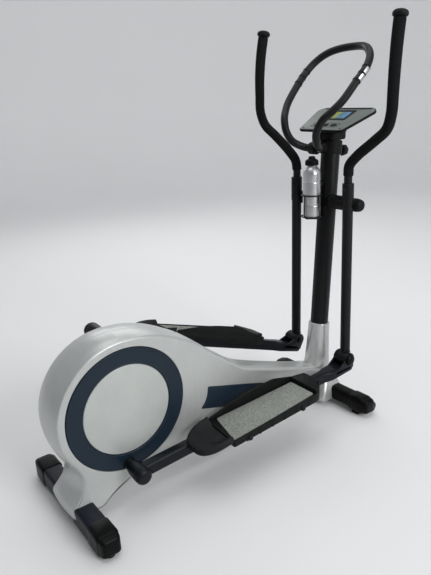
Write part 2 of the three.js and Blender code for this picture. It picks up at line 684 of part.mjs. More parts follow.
// ---- crank --------------------------------------------------------------------------------
function crankAxle() {
  return barY(0, CRANK.z, AXLE_RADIUS, -66 - GAP, 66 + GAP, 16);
}

function crankRing() {
  const { ring, window, face } = CRANK;
  return turnedY(0, CRANK.z, [
    [AXLE_RADIUS + BORE, -68], [window + GAP, -68], [window + GAP, -face - 1.5],
    [ring, -face - 1.5], [ring, -64], [AXLE_RADIUS + BORE, -64], [AXLE_RADIUS + BORE, -68],
  ], 36);
}

function crankDome() {
  const { window, face } = CRANK;
  const rise = 6;
  const bulge = Array.from({ length: 4 }, (_, k) => {
    const r = (window * k) / 3;
    return [r, -face - rise * (1 - (r / window) ** 2)];
  });
  return turnedY(0, CRANK.z, [...bulge, [window, -68 - GAP], [0, -68 - GAP]], 36);
}

function crankPin() {
  return turnedY(PIN.x, PIN.z, [
    [0, -BAR.from + 1], [14, -BAR.from + 1], [19, -BAR.from + 4], [20, -CRANK.face - 12],
    [22, -CRANK.face - 5], [22, -CRANK.face - 1.5 - GAP], [0, -CRANK.face - 1.5 - GAP],
  ]);
}

function drivePulley() {
  return turnedY(0, CRANK.z, [
    [AXLE_RADIUS + BORE, 12], [26, 12], [26, 22], [116, 22], [116, 16], [130, 16], [130, 36],
    [26, 36], [26, 44], [AXLE_RADIUS + BORE, 44], [AXLE_RADIUS + BORE, 12],
  ], 22);
}

function flywheel() {
  return turnedY(420, 240, [
    [0, -56], [8, -56], [8, -38], [102, -38], [102, -8], [78, -8], [78, -16], [26, -16],
    [26, 36], [8, 36], [8, 56], [0, 56],
  ], 18);
}

// Magnet yoke that brakes the flywheel rim
function magnetBrake() {
  const arch = new THREE.Shape();
  arch.absarc(420, 240, 124, Math.PI * 0.32, Math.PI * 0.68, false);
  arch.absarc(420, 240, 106, Math.PI * 0.68, Math.PI * 0.32, true);
  arch.closePath();
  return plateXZ(arch, -40, -6, 5);
}

// ---- console and fixed handlebar ----------------------------------------------------------
// The console is drawn level: X = 0 is its lower edge, Z = 0 its face.
function onConsole(level) {
  return level.rotate([0, -CONSOLE.tilt, 0]).translate([CONSOLE.x, 0, CONSOLE.z]);
}

function consoleOutline(inset) {
  const { depth, bottomHalf, topHalf } = CONSOLE;
  return roundedPolygon([
    [inset, -bottomHalf + inset], [inset, bottomHalf - inset],
    [depth - 22 - inset, topHalf - inset], [depth - inset, topHalf - 26 - inset],
    [depth - inset, -topHalf + 26 + inset], [depth - 22 - inset, -topHalf + inset],
  ].reverse(), 12);
}

const SCREEN_AREA = { x0: 92, x1: 158, half: 56 };
const BUTTONS = [{ name: 'mode', y: 44 }, { name: 'set', y: 0 }, { name: 'reset', y: -44 }];
const BUTTON = { x: 40, halfX: 9, halfY: 15, travel: 1.2, proud: 2.4 };

function consoleCase() {
  const { thick } = CONSOLE;
  const shell = plateXY(consoleOutline(0), -thick + 4, -3).add(plateXY(consoleOutline(3), -thick, 0));
  const well = box(SCREEN_AREA.x0, SCREEN_AREA.x1, -SCREEN_AREA.half, SCREEN_AREA.half, -5, 5);
  const wells = joined(BUTTONS.map(({ y }) => box(
    BUTTON.x - BUTTON.halfX - GAP, BUTTON.x + BUTTON.halfX + GAP,
    y - BUTTON.halfY - GAP, y + BUTTON.halfY + GAP, -8, 5,
  )));
  return onConsole(shell.subtract(well).subtract(wells));
}

function consoleScreen() {
  const { x0, x1, half } = SCREEN_AREA;
  return onConsole(box(x0 + GAP, x1 - GAP, -half + GAP, half - GAP, -5 + GAP, -1));
}

function consoleButton(y) {
  const outline = roundedPolygon([
    [BUTTON.x - BUTTON.halfX, y - BUTTON.halfY], [BUTTON.x + BUTTON.halfX, y - BUTTON.halfY],
    [BUTTON.x + BUTTON.halfX, y + BUTTON.halfY], [BUTTON.x - BUTTON.halfX, y + BUTTON.halfY],
  ], 6);
  return onConsole(plateXY(outline, -8 + BUTTON.travel + GAP, BUTTON.proud));
}

function consoleNeck() {
  const rows = [[MAST.top - 20, 44, 44], [MAST.top + 4, 44, 46], [MAST.top + 58, 40, 62]];
  const rings = rows.map(([z, dx, dy]) => (
    roundedRing(mastX(z) - dx, mastX(z) + dx, -dy, dy, 22).map(([x, y]) => new THREE.Vector3(x, y, z))
  ));
  const under = onConsole(box(-200, 400, -300, 300, -CONSOLE.thick - GAP, 200));
  const socket = onMast(barZ(0, 0, MAST.radius + GAP, MAST.top - 80, MAST.top + GAP, 20));
  return loft(rings).subtract(under).subtract(socket);
}

function loopPath() {
  const half = [
    [CLAMP.x, 4, CLAMP.z], [CLAMP.x, 15, CLAMP.z], [CLAMP.x - 1, 26, CLAMP.z],
    [CLAMP.x - 18, 44, CLAMP.z + 6], [922, 66, 1164], [905, 82, 1202], [914, 102, 1246],
    [941, 125, 1277], [978, 144, 1314], [1044, 153, 1382], [1094, 154, 1428],
    [1134, 137, 1467], [1164, 104, 1494], [1190, 60, 1508],
  ];
  const top = [1202, 0, 1512];
  const mirrored = half.map(([x, y, z]) => [x, -y, z]).reverse();
  return new THREE.CatmullRomCurve3(
    [...half, top, ...mirrored].map((p) => new THREE.Vector3(...p)), false, 'centripetal',
  );
}

function loopHandlebar() {
  return sweep(ringShape(LOOP_RADIUS, LOOP_RADIUS - STEEL_WALL, 8), loopPath(), 40);
}

// Pulse plate: a sleeve on the right branch of the loop
function pulseGrip() {
  const path = stretch(loopPath(), 0.668, 0.714, 4);
  return sweep(ringShape(LOOP_RADIUS + 3.4, LOOP_RADIUS + 2, 8), path, 4);
}

function loopClamp() {
  const z = CLAMP.z;
  const stem = box(CLAMP.x, mastX(z), -18, 18, z - 18, z + 18);
  const hub = barY(CLAMP.x, z, 24, -17, 17);
  const band = onMast(barZ(0, 0, MAST.radius + 7, z - 30, z + 22, 20), z);
  return joined([stem, hub, band])
    .subtract(onMast(barZ(0, 0, MAST.radius + GAP, z - 80, z + 80, 20), z))
    .subtract(barY(CLAMP.x, z, LOOP_RADIUS + 4, -40, 40, 8));
}

function clampKnob() {
  const z = CLAMP.z - 24;
  const start = mastX(z) + MAST.radius + 7 + 3 * GAP;
  const knob = turnedZ([[0, 0], [9, 0], [9, 14], [20, 18], [22, 26], [20, 40], [12, 45], [0, 46]], 20);
  return knob.rotate([0, 90, 0]).translate([start, 0, z]);
}

// ---- bottle -------------------------------------------------------------------------------
function bottle() {
  const { radius, bottom, shoulder, neck } = BOTTLE;
  return turnedZ([
    [0, bottom], [radius - 5, bottom], [radius, bottom + 6], [radius, shoulder - 8],
    [radius - 4, shoulder + 6], [22, neck - 6], [19, neck], [19, neck + 14], [0, neck + 14],
  ]).translate([BOTTLE.x, 0, 0]);
}

function bottleCap() {
  const { neck, top } = BOTTLE;
  return turnedZ([
    [0, neck + GAP], [25, neck + GAP], [26, neck + 6], [25, neck + 22], [14, neck + 26], [13, top - 2],
    [9, top], [0, top],
  ]).subtract(turnedZ([[0, 0], [19 + BORE, 0], [19 + BORE, neck + 14 + GAP], [0, neck + 14 + GAP]]))
    .translate([BOTTLE.x, 0, 0]);
}

function bottleCage() {
  const wire = 3;
  const ringAt = (z) => {
    const points = Array.from({ length: 5 }, (_, k) => {
      const a = (2 * Math.PI * k) / 4;
      return [BOTTLE.radius + 2.2 + wire + wire * Math.cos(a), z + wire * Math.sin(a)];
    });
    return turnedZ(points, 14).translate([BOTTLE.x, 0, 0]);
  };
  const back = BOTTLE.x + BOTTLE.radius + 2.5;
  const plate = box(back, back + 6, -11, 11, BOTTLE.bottom - 12, 1010);
  const tray = barZ(BOTTLE.x, 0, 24, BOTTLE.bottom - 6, BOTTLE.bottom - GAP, 14)
    .add(box(BOTTLE.x, back + 2, -9, 9, BOTTLE.bottom - 6, BOTTLE.bottom - GAP));
  const struts = joined([-1, 1].map((side) => box(
    BOTTLE.x - 5, BOTTLE.x + 5, side * 40.5 - 2.5, side * 40.5 + 2.5, BOTTLE.bottom + 2, 948,
  )));
  const standoffs = joined([985, 885].map((z) => (
    box(back + 3, mastX(z) - MAST.radius + 9, -9, 9, z - 9, z + 9)
  )));
  return joined([ringAt(948), ringAt(BOTTLE.bottom + 4), plate, tray, struts, standoffs])
    .subtract(onMast(barZ(0, 0, MAST.radius + GAP, 800, 1100, 20)))
    .subtract(barY(PIVOT.x, PIVOT.z, 31 + GAP, -120, 120, 20));
}

// ---- assembly -----------------------------------------------------------------------------
add('base_frame', baseFrame(), BLACK_STEEL);
add('rear_stabilizer', footTube(REAR_FOOT), BLACK_STEEL);
add('front_stabilizer', footTube(FRONT_FOOT), BLACK_STEEL);
addPair('rear_foot_cap', rearCap(), BLACK_PLASTIC);
addPair('front_foot_cap', frontCap(), BLACK_PLASTIC);
addPair('leveller', leveller(), BLACK_PLASTIC);
addPair('transport_wheel', transportWheel(), DARK_GREY);
addPair('housing', housingHalf(), SILVER);
addPair('side_panel', sidePanel(), NAVY);

add('mast_sleeve', mastSleeve(), SILVER);
add('mast_tube', mastTube(), BLACK_STEEL);
add('pivot_axle', pivotAxle(), BLACK_STEEL);

addArmPair('arm_lower', armLower(), BLACK_STEEL);
addArmPair('handlebar', handlebar(), BLACK_STEEL);
addArmPair('grip', grip(), FOAM);
addArmPair('grip_cap', gripCap(), BLACK_PLASTIC);

addBarPair('pedal_bar', pedalBar(), BLACK_STEEL);
addBarPair('joint_bolt', jointBolt(), STEEL);
addBarPair('pedal_tray', pedalTray(), BLACK_PLASTIC);
addBarPair('pedal_tread', pedalTread(), TREAD);
addBarPair('heel_scoop', heelScoop(), DARK_GREY);

add('crank_axle', crankAxle(), STEEL);
addPair('crank_ring', crankRing(), NAVY);
addPair('crank_dome', crankDome(), SILVER);
add('crank_pin_right', crankPin(), BLACK_STEEL);
add('crank_pin_left', crankPin().mirror([0, 1, 0])
  .translate([0, 0, -CRANK.z]).rotate([0, 180, 0]).translate([0, 0, CRANK.z]), BLACK_STEEL);
add('drive_pulley', drivePulley(), DARK_GREY);
add('flywheel', flywheel(), STEEL);
add('magnet_brake', magnetBrake(), BLACK_STEEL);

add('console_neck', consoleNeck(), BLACK_PLASTIC);
add('console_case', consoleCase(), TREAD);
add('console_screen', consoleScreen(), SCREEN);
BUTTONS.forEach(({ name, y }) => add(`console_button_${name}`, consoleButton(y), BLACK_PLASTIC));
add('loop_handlebar', loopHandlebar(), BLACK_STEEL);
addPair('pulse_grip', pulseGrip(), STEEL);
add('loop_clamp', loopClamp(), BLACK_PLASTIC);
add('clamp_knob', clampKnob(), BLACK_PLASTIC);

add('bottle', bottle(), BOTTLE_METAL);
add('bottle_cap', bottleCap(), BLACK_PLASTIC);
add('bottle_cage', bottleCage(), BLACK_STEEL);

export default trainer;
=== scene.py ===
"""Elliptical trainer: detailed shapes, finishes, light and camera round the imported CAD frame."""
import json
import math
import bpy
import bmesh
from mathutils import Matrix, Vector
from mathutils.geometry import delaunay_2d_cdt

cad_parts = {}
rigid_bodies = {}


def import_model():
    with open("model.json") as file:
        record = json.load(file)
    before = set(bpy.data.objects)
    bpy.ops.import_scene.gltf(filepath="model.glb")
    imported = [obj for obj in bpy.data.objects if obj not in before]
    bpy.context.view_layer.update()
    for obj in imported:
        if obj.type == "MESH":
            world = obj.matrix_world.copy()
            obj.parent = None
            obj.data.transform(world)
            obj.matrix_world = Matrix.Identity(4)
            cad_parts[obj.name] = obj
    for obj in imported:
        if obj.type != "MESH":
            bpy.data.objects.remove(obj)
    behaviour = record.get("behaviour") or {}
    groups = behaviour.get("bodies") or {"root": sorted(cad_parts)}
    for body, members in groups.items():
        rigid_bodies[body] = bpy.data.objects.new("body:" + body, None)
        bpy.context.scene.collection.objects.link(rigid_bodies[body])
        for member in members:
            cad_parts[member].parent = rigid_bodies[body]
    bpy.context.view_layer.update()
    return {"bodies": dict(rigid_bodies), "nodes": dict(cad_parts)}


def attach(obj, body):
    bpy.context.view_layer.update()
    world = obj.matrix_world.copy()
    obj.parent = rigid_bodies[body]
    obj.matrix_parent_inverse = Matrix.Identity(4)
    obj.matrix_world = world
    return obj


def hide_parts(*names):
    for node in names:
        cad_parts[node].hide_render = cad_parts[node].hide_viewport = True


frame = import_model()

scene = bpy.context.scene
TAU = 2 * math.pi
MM = 0.001
CRANK_X = -476.7                  # crank axis in the frame of the whole trainer


# ---- camera -------------------------------------------------------------------------------
def make_camera():
    data = bpy.data.cameras.new("camera")
    data.sensor_width = 36
    data.lens = 36.1
    data.clip_end = 60
    camera = bpy.data.objects.new("camera", data)
    right = Vector((0.79758, -0.60119, -0.04950)).normalized()
    forward = Vector((0.55559, 0.76408, -0.32788)).normalized()
    down = forward.cross(right)
    turn = Matrix((right, -down, -forward)).transposed().to_4x4()
    camera.matrix_world = Matrix.Translation((-1.2314, -1.6616, 1.3851)) @ turn
    scene.collection.objects.link(camera)
    scene.camera = camera


make_camera()


# ---- materials ----------------------------------------------------------------------------
class Nodes:
    """Short names for building one material's node tree."""

    def __init__(self, name):
        self.material = bpy.data.materials.new(name)
        self.material.use_nodes = True
        self.tree = self.material.node_tree
        self.shader = self.tree.nodes["Principled BSDF"]
        self.place = self.add("ShaderNodeTexCoord").outputs["Object"]

    def add(self, kind, **inputs):
        node = self.tree.nodes.new(kind)
        for key, value in inputs.items():
            node.inputs[key.replace("_", " ")].default_value = value
        return node

    def link(self, a, b):
        self.tree.links.new(a, b)

    def stretched(self, scale):
        node = self.add("ShaderNodeMapping")
        node.inputs["Scale"].default_value = scale
        self.link(self.place, node.inputs["Vector"])
        return node.outputs["Vector"]

    def noise(self, scale, detail=3.0, roughness=0.55, vector=None):
        node = self.add("ShaderNodeTexNoise", Scale=scale, Detail=detail, Roughness=roughness)
        self.link(vector or self.place, node.inputs["Vector"])
        return node.outputs["Fac"]

    def cells(self, scale, feature="F1", output="Distance"):
        node = self.add("ShaderNodeTexVoronoi", Scale=scale)
        node.feature = feature
        self.link(self.place, node.inputs["Vector"])
        return node.outputs[output]

    def ramp(self, factor, stops):
        node = self.add("ShaderNodeValToRGB")
        elements = node.color_ramp.elements
        while len(elements) < len(stops):
            elements.new(0.5)
        for element, (position, color) in zip(elements, stops):
            element.position = position
            element.color = (*color, 1)
        self.link(factor, node.inputs["Fac"])
        return node.outputs["Color"]

    def mapped(self, value, start, end, low=0, high=1):
        node = self.add("ShaderNodeMapRange", From_Min=start, From_Max=end, To_Min=low, To_Max=high)
        self.link(value, node.inputs["Value"])
        return node.outputs["Result"]

    def spread(self, factor, low, high):
        """The middle range of a noise, mapped onto low to high."""
        return self.mapped(factor, 0.3, 0.7, low, high)

    def bump(self, height, distance, strength=0.5, under=None):
        node = self.add("ShaderNodeBump", Strength=strength, Distance=distance)
        self.link(height, node.inputs["Height"])
        if under:
            self.link(under, node.inputs["Normal"])
        return node.outputs["Normal"]

    def mix(self, factor, a, b):
        node = self.add("ShaderNodeMix")
        node.data_type = "RGBA"
        self.link(factor, node.inputs[0])
        for value, index in ((a, 6), (b, 7)):
            if hasattr(value, "node"):
                self.link(value, node.inputs[index])
            else:
                node.inputs[index].default_value = (*value, 1)
        return node.outputs[2]

    def finish(self, color, rough, normal=None, **values):
        socket = self.shader.inputs
        self.link(color, socket["Base Color"])
        self.link(rough, socket["Roughness"])
        if normal:
            self.link(normal, socket["Normal"])
        for key, value in values.items():
            socket[key.replace("_", " ")].default_value = value
        return self.material


def shade(color, factor, add=0):
    return tuple(min(1, c * factor + add) for c in color)


def plain_finish(name, color, variation, rough, grain, grain_depth, mottle=9.0, **values):
    """Even finish with a slow drift of colour and gloss, scuffs and a fine surface grain."""
    n = Nodes(name)
    drift = n.noise(mottle, 4)
    scuffs = n.noise(60, 6, 0.7, n.stretched((1, 1, 0.35)))
    base = n.ramp(drift, [(0.3, shade(color, 1 - variation)), (0.7, shade(color, 1 + variation))])
    tint = n.mix(n.spread(scuffs, 0, 0.25), base, shade(color, 1.3, 0.0015))
    grain_height = n.noise(grain, 2)
    normal = n.bump(grain_height, grain_depth, 0.6, n.bump(drift, 0.0012, 0.15))
    return n.finish(tint, n.spread(scuffs, rough - 0.05, rough + 0.07), normal, **values)


def grained_plastic(name, color, rough, cell=900, depth=0.00022):
    """Moulded plastic with a leather-like spark-eroded texture."""
    n = Nodes(name)
    drift = n.noise(14, 4)
    fine = n.cells(cell)
    base = n.ramp(drift, [(0.3, shade(color, 0.8)), (0.7, shade(color, 1.3, 0.003))])
    tint = n.mix(n.spread(n.noise(90, 5, 0.7), 0, 0.3), base, shade(color, 1.6, 0.006))
    normal = n.bump(fine, depth, 0.55, n.bump(drift, 0.001, 0.2))
    return n.finish(tint, n.spread(fine, rough - 0.05, rough + 0.08), normal, Specular_IOR_Level=0.13)


def brushed_metal(name, color, rough, stretch=(40, 40, 2), metallic=1.0):
    n = Nodes(name)
    lines = n.noise(60, 4, 0.7, n.stretched(stretch))
    drift = n.noise(12, 3)
    base = n.ramp(drift, [(0.3, shade(color, 0.86)), (0.7, color)])
    tint = n.mix(n.spread(lines, 0, 0.35), base, shade(color, 0.72))
    normal = n.bump(lines, 0.0001, 0.35)
    return n.finish(tint, n.spread(lines, rough - 0.06, rough + 0.1), normal, Metallic=metallic)


def foam_finish():
    n = Nodes("foam")
    cells = n.cells(520)
    pores = n.noise(1500, 3)
    drift = n.noise(18, 4)
    base = n.ramp(drift, [(0.3, (0.003, 0.003, 0.0034)), (0.7, (0.006, 0.006, 0.0068))])
    tint = n.mix(n.spread(cells, 0, 0.5), base, (0.014, 0.014, 0.015))
    normal = n.bump(pores, 0.0003, 0.5, n.bump(cells, 0.0005, 0.5))
    return n.finish(tint, n.spread(drift, 0.8, 0.94), normal, Specular_IOR_Level=0.14)


def tread_finish():
    """Grey-green rubber mat with dark and light grit."""
    n = Nodes("tread")
    grit = n.cells(420, output="Color")
    split = n.add("ShaderNodeSeparateColor")
    n.link(grit, split.inputs["Color"])
    speck = n.ramp(split.outputs["Red"], [
        (0.0, (0.09, 0.098, 0.09)), (0.25, (0.19, 0.205, 0.185)), (0.6, (0.245, 0.26, 0.235)),
        (1.0, (0.36, 0.37, 0.34)),
    ])
    patch = n.noise(30, 5, 0.65)
    tint = n.mix(n.spread(patch, 0, 0.4), speck, (0.205, 0.22, 0.20))
    bumps = n.cells(420)
    normal = n.bump(bumps, 0.0007, 0.8, n.bump(patch, 0.0008, 0.3))
    return n.finish(tint, n.spread(patch, 0.72, 0.88), normal, Specular_IOR_Level=0.35)


def screen_finish():
    """Liquid crystal panel: yellow-green at one side passing into pale blue, with a faint grid and a faint
    painted glow.
    """
    n = Nodes("screen")
    split = n.add("ShaderNodeSeparateXYZ")
    n.link(n.place, split.inputs["Vector"])
    tone = n.ramp(n.mapped(split.outputs["Y"], -0.056, 0.056), [
        (0.0, (0.07, 0.20, 0.42)), (0.44, (0.10, 0.24, 0.34)), (0.58, (0.30, 0.34, 0.06)),
        (1.0, (0.40, 0.39, 0.05)),
    ])
    grid = n.add("ShaderNodeTexBrick", Scale=170.0, Mortar_Size=0.02)
    grid.offset = 0
    n.link(n.stretched((1, 1, 0.0)), grid.inputs["Vector"])
    cloudy = n.noise(40, 3)
    tint = n.mix(n.spread(cloudy, 0, 0.15), tone, (0.16, 0.20, 0.10))
    normal = n.bump(grid.outputs["Fac"], 0.00005, 0.2)
    # painted glow: the panel colour is also given off as a weak emission
    n.link(tint, n.shader.inputs["Emission Color"])
    return n.finish(tint, n.spread(cloudy, 0.3, 0.4), normal, Emission_Strength=0.1, Specular_IOR_Level=0.3)


def floor_finish():
    """Pale studio floor with painted shade: its colour darkens towards -X and -Y."""
    n = Nodes("floor")
    along = n.add("ShaderNodeVectorMath")
    along.operation = "DOT_PRODUCT"
    n.link(n.place, along.inputs[0])
    along.inputs[1].default_value = (0.8, 0.6, 0)
    # painted shade: the floor colour falls off towards -X and -Y in place of dimmer light there
    slow = n.ramp(n.mapped(along.outputs["Value"], -7, 5), [
        (0.0, (0.30, 0.305, 0.31)), (0.36, (0.76, 0.765, 0.77)), (0.66, (0.80, 0.805, 0.81)),
        (1.0, (0.86, 0.865, 0.87)),
    ])
    base = n.mix(n.spread(n.noise(0.6, 3), 0, 0.12), slow, (0.74, 0.745, 0.75))
    return n.finish(base, n.spread(n.noise(4, 3), 0.85, 0.95), n.bump(n.noise(60, 4), 0.0004, 0.1))


MATERIAL = {
    "silver": plain_finish("silver", (0.47, 0.485, 0.475), 0.035, 0.33, 1400, 0.00006,
                           Metallic=0.45, Coat_Weight=0.25, Coat_Roughness=0.28),
    "dome": plain_finish("dome", (0.46, 0.485, 0.465), 0.05, 0.42, 1400, 0.00006, Metallic=0.35,
                         Coat_Weight=0.15, Coat_Roughness=0.35),
    "navy": plain_finish("navy", (0.0055, 0.0145, 0.027), 0.12, 0.42, 1100, 0.0001,
                         Coat_Weight=0.06, Coat_Roughness=0.3, Specular_IOR_Level=0.25),
    "black_steel": plain_finish("black_steel", (0.005, 0.0053, 0.006), 0.2, 0.38, 1800, 0.0001,
                                Specular_IOR_Level=0.22),
    "black_plastic": grained_plastic("black_plastic", (0.0038, 0.0040, 0.0043), 0.5),
    "bar_black": plain_finish("bar_black", (0.0045, 0.006, 0.009), 0.2, 0.34, 1600, 0.0001,
                              Specular_IOR_Level=0.18),
    "gloss_black": plain_finish("gloss_black", (0.002, 0.0021, 0.0024), 0.15, 0.34, 1500, 0.00004,
                                Specular_IOR_Level=0.1),
    # navy-black of the foot sleeves, made darker still as painted shade against the top light
    "sleeve_navy_painted_shade": plain_finish("sleeve_navy_painted_shade", (0.0035, 0.0055, 0.013), 0.15, 0.4, 1300, 0.00008,
                                Specular_IOR_Level=0.2),
    "dark_grey": grained_plastic("dark_grey", (0.010, 0.0104, 0.011), 0.55, 700),
    "wheel": grained_plastic("wheel", (0.05, 0.05, 0.052), 0.5, 600),
    "foam": foam_finish(),
    "tread": tread_finish(),
    "steel": brushed_metal("steel", (0.62, 0.62, 0.62), 0.28),
    "sleeve": plain_finish("sleeve", (0.56, 0.575, 0.565), 0.03, 0.3, 900, 0.00005,
                           Metallic=0.4, Coat_Weight=0.25, Coat_Roughness=0.22),
    "iron": brushed_metal("iron", (0.28, 0.28, 0.28), 0.4, (4, 40, 4)),
    "console": plain_finish("console", (0.135, 0.16, 0.145), 0.06, 0.38, 1300, 0.00007, Metallic=0.2),
    "screen": screen_finish(),
    "ink": plain_finish("ink", (0.012, 0.014, 0.012), 0.1, 0.4, 900, 0.00005),
    "pulse": brushed_metal("pulse", (0.60, 0.60, 0.61), 0.3, (30, 30, 30)),
    "bottle": brushed_metal("bottle", (0.60, 0.61, 0.62), 0.3, (30, 30, 1.2), 0.85),
}


# ---- shapes: a shape is (points in machine millimetres, faces) ---------------------------
def angles(count):
    return [TAU * k / count for k in range(count)]


def joined(*shapes):
    points, faces = [], []
    for more_points, more_faces in shapes:
        start = len(points)
        points += more_points
        faces += [[start + k for k in face] for face in more_faces]
    return points, faces


def moved(shape, turn):
    points, faces = shape
    return [turn(Vector(p)) for p in points], faces


def mirrored(shape):
    points, faces = shape
    return [Vector((p[0], -p[1], p[2])) for p in points], [face[::-1] for face in faces]


def skin(rings, closed=False, caps=True):
    """Skin over rings that all have the same number of points."""
    count = len(rings[0])
    points = [p for ring in rings for p in ring]
    faces = []
    for r in range(len(rings) if closed else len(rings) - 1):
        a, b = r * count, ((r + 1) % len(rings)) * count
        faces += [[a + k, a + (k + 1) % count, b + (k + 1) % count, b + k] for k in range(count)]
    if caps and not closed:
        last = (len(rings) - 1) * count
        faces += [list(range(count))[::-1], [last + k for k in range(count)]]
    return points, faces


def soften(profile, radius, steps=4):
    """Rounds every inner corner of an open polyline."""
    out = [profile[0]]
    for before, corner, after in zip(profile, profile[1:], profile[2:]):
        c, b, a = Vector(corner), Vector(before), Vector(after)
        cut = min(radius, (b - c).length * 0.45, (a - c).length * 0.45)
        if cut < 0.05:
            out.append(tuple(c))
            continue
        start, end = c + (b - c).normalized() * cut, c + (a - c).normalized() * cut
        for k in range(steps + 1):
            t = k / steps
            out.append(tuple(start * (1 - t) ** 2 + c * 2 * t * (1 - t) + end * t * t))
    return [*out, profile[-1]]


def turned(profile, place, axis="y", sides=72, radius=1.5, loop=False):
    """Turned solid; the profile is [radius, position along the axis]."""
    line = soften(profile, radius)
    rings = []
    for r, t in line:
        ring = []
        for a in angles(sides):
            u, v = max(r, 0.02) * math.cos(a), max(r, 0.02) * math.sin(a)
            ring.append(Vector((u, t, v)) if axis == "y" else Vector((u, v, t)))
        rings.append([p + Vector(place) for p in ring])
    return skin(rings, closed=loop)


def path_points(knots, count):
    """Centripetal Catmull-Rom curve through the knots, evenly spaced along its length."""
    p = [Vector(k) for k in knots]
    p = [p[0] * 2 - p[1], *p, p[-1] * 2 - p[-2]]
    fine = []
    for i in range(1, len(p) - 2):
        t = [0.0]
        for a, b in zip(p[i - 1:i + 2], p[i:i + 3]):
            t.append(t[-1] + max((b - a).length, 1e-6) ** 0.5)
        for k in range(24):
            s = t[1] + (t[2] - t[1]) * k / 24
            a = [p[i - 1 + j] * ((t[j + 1] - s) / (t[j + 1] - t[j]))
                 + p[i + j] * ((s - t[j]) / (t[j + 1] - t[j])) for j in range(3)]
            b = [a[j] * ((t[j + 2] - s) / (t[j + 2] - t[j])) + a[j + 1] * ((s - t[j]) / (t[j + 2] - t[j]))
                 for j in range(2)]
            fine.append(b[0] * ((t[2] - s) / (t[2] - t[1])) + b[1] * ((s - t[1]) / (t[2] - t[1])))
    fine.append(p[-2])
    lengths = [0.0]
    for a, b in zip(fine, fine[1:]):
        lengths.append(lengths[-1] + (b - a).length)
    out, i = [], 0
    for k in range(count):
        want = lengths[-1] * k / (count - 1)
        while i < len(fine) - 2 and lengths[i + 1] < want:
            i += 1
        share = (want - lengths[i]) / max(lengths[i + 1] - lengths[i], 1e-9)
        out.append(fine[i].lerp(fine[i + 1], min(1, share)))
    return out


def part_of(points, start, end, count):
    """The stretch of an evenly spaced path between two fractions of its length."""
    out = []
    for k in range(count):
        s = (start + (end - start) * k / (count - 1)) * (len(points) - 1)
        i = min(int(s), len(points) - 2)
        out.append(points[i].lerp(points[i + 1], s - i))
    return out


def swept(points, radius, sides=28, rounding=0.0, closed=False):
    """Round bar along a path; radius may be a list, one for each point."""
    radii = radius if isinstance(radius, list) else [radius] * len(points)
    if rounding:
        first, last = (points[1] - points[0]).normalized(), (points[-1] - points[-2]).normalized()
        ends = [(1 - math.cos(a), math.sin(a)) for a in (0.35, 0.7, 1.1, 1.57)]
        head = [(points[0] + first * rounding * u, radii[0] - rounding * (1 - v)) for u, v in ends]
        tail = [(points[-1] - last * rounding * u, radii[-1] - rounding * (1 - v)) for u, v in ends]
        inner = [(p, r) for p, r in zip(points, radii)
                 if (p - points[0]).length > rounding * 1.3 and (p - points[-1]).length > rounding * 1.3]
        row = [(points[0], radii[0] - rounding), *head, *inner, *tail[::-1],
               (points[-1], radii[-1] - rounding)]
        points, radii = [p for p, _ in row], [r for _, r in row]
    rings, side = [], None
    for i, p in enumerate(points):
        after = points[(i + 1) % len(points)] if closed or i < len(points) - 1 else p
        before = points[i - 1] if closed or i > 0 else p
        along = (after - before).normalized()
        if side is None:
            side = along.cross(Vector((0.3, 0.1, 1))).normalized()
        side = (side - along * side.dot(along)).normalized()
        up = along.cross(side)
        rings.append([p + (side * math.cos(a) + up * math.sin(a)) * radii[i] for a in angles(sides)])
    return skin(rings, closed=closed)


def rounded(points, radius, steps=5):
    """Closed outline with every corner rounded; radius may be one number or one for each corner."""
    out = []
    count = len(points)
    for k in range(count):
        r = radius[k] if isinstance(radius, (list, tuple)) else radius
        before, corner, after = (Vector(points[(k + j) % count]) for j in (-1, 0, 1))
        enter = corner + (before - corner).normalized() * r
        leave = corner + (after - corner).normalized() * r
        for s in range(steps + 1):
            t = s / steps
            out.append(enter * (1 - t) ** 2 + corner * 2 * t * (1 - t) + leave * t * t)
    return out


def rectangle(x0, x1, y0, y1, radius, steps=5):
    return rounded([(x0, y0), (x1, y0), (x1, y1), (x0, y1)], radius, steps)


def around(x, y, radius, count):
    """Points evenly spaced on a circle."""
    return [(x + radius * math.cos(a), y + radius * math.sin(a)) for a in angles(count)]


def at_height(outline, z):
    return [Vector((p.x, p.y, z)) for p in outline]


def area_of(outline):
    return sum(a[0] * b[1] - b[0] * a[1] for a, b in zip(outline, outline[1:] + outline[:1])) / 2


def shrunk(outline, distance):
    """The outline moved inwards by a small distance."""
    turn = 1 if area_of(outline) > 0 else -1
    out = []
    for k in range(len(outline)):
        a, b, c = outline[k - 1], outline[k], outline[(k + 1) % len(outline)]
        d = (Vector(b) - Vector(a)).normalized() + (Vector(c) - Vector(b)).normalized()
        d = d.normalized() if d.length > 1e-6 else Vector((1, 0))
        out.append(Vector(b) + Vector((-d.y, d.x)) * distance * turn)
    return out


def slab(outline, low, high, edge=1.5, plane="xy", edge_low=None):
    """Plate with an outline, between two heights, with rounded rims."""
    edge_low = edge if edge_low is None else edge_low
    rows = [(edge_low * (1 - math.sin(a)), low + edge_low * (1 - math.cos(a))) for a in (0, 0.5, 1.0, 1.57)]
    rows += [(edge * (1 - math.sin(a)), high - edge * (1 - math.cos(a))) for a in (1.57, 1.0, 0.5, 0)]
    rings = []
    for inset, height in rows:
        ring = shrunk(outline, inset)
        rings.append([Vector((p.x, p.y, height)) if plane == "xy" else Vector((p.x, height, p.y))
                      for p in ring])
    return skin(rings)


def block(x0, x1, y0, y1, z0, z1, corner=2.0, edge=1.0):
    return slab(rectangle(x0, x1, y0, y1, corner), z0, z1, edge)


def inside(point, outline):
    x, y = point
    hit = False
    for a, b in zip(outline, outline[1:] + outline[:1]):
        if (a[1] > y) != (b[1] > y) and x < (b[0] - a[0]) * (y - a[1]) / (b[1] - a[1]) + a[0]:
            hit = not hit
    return hit


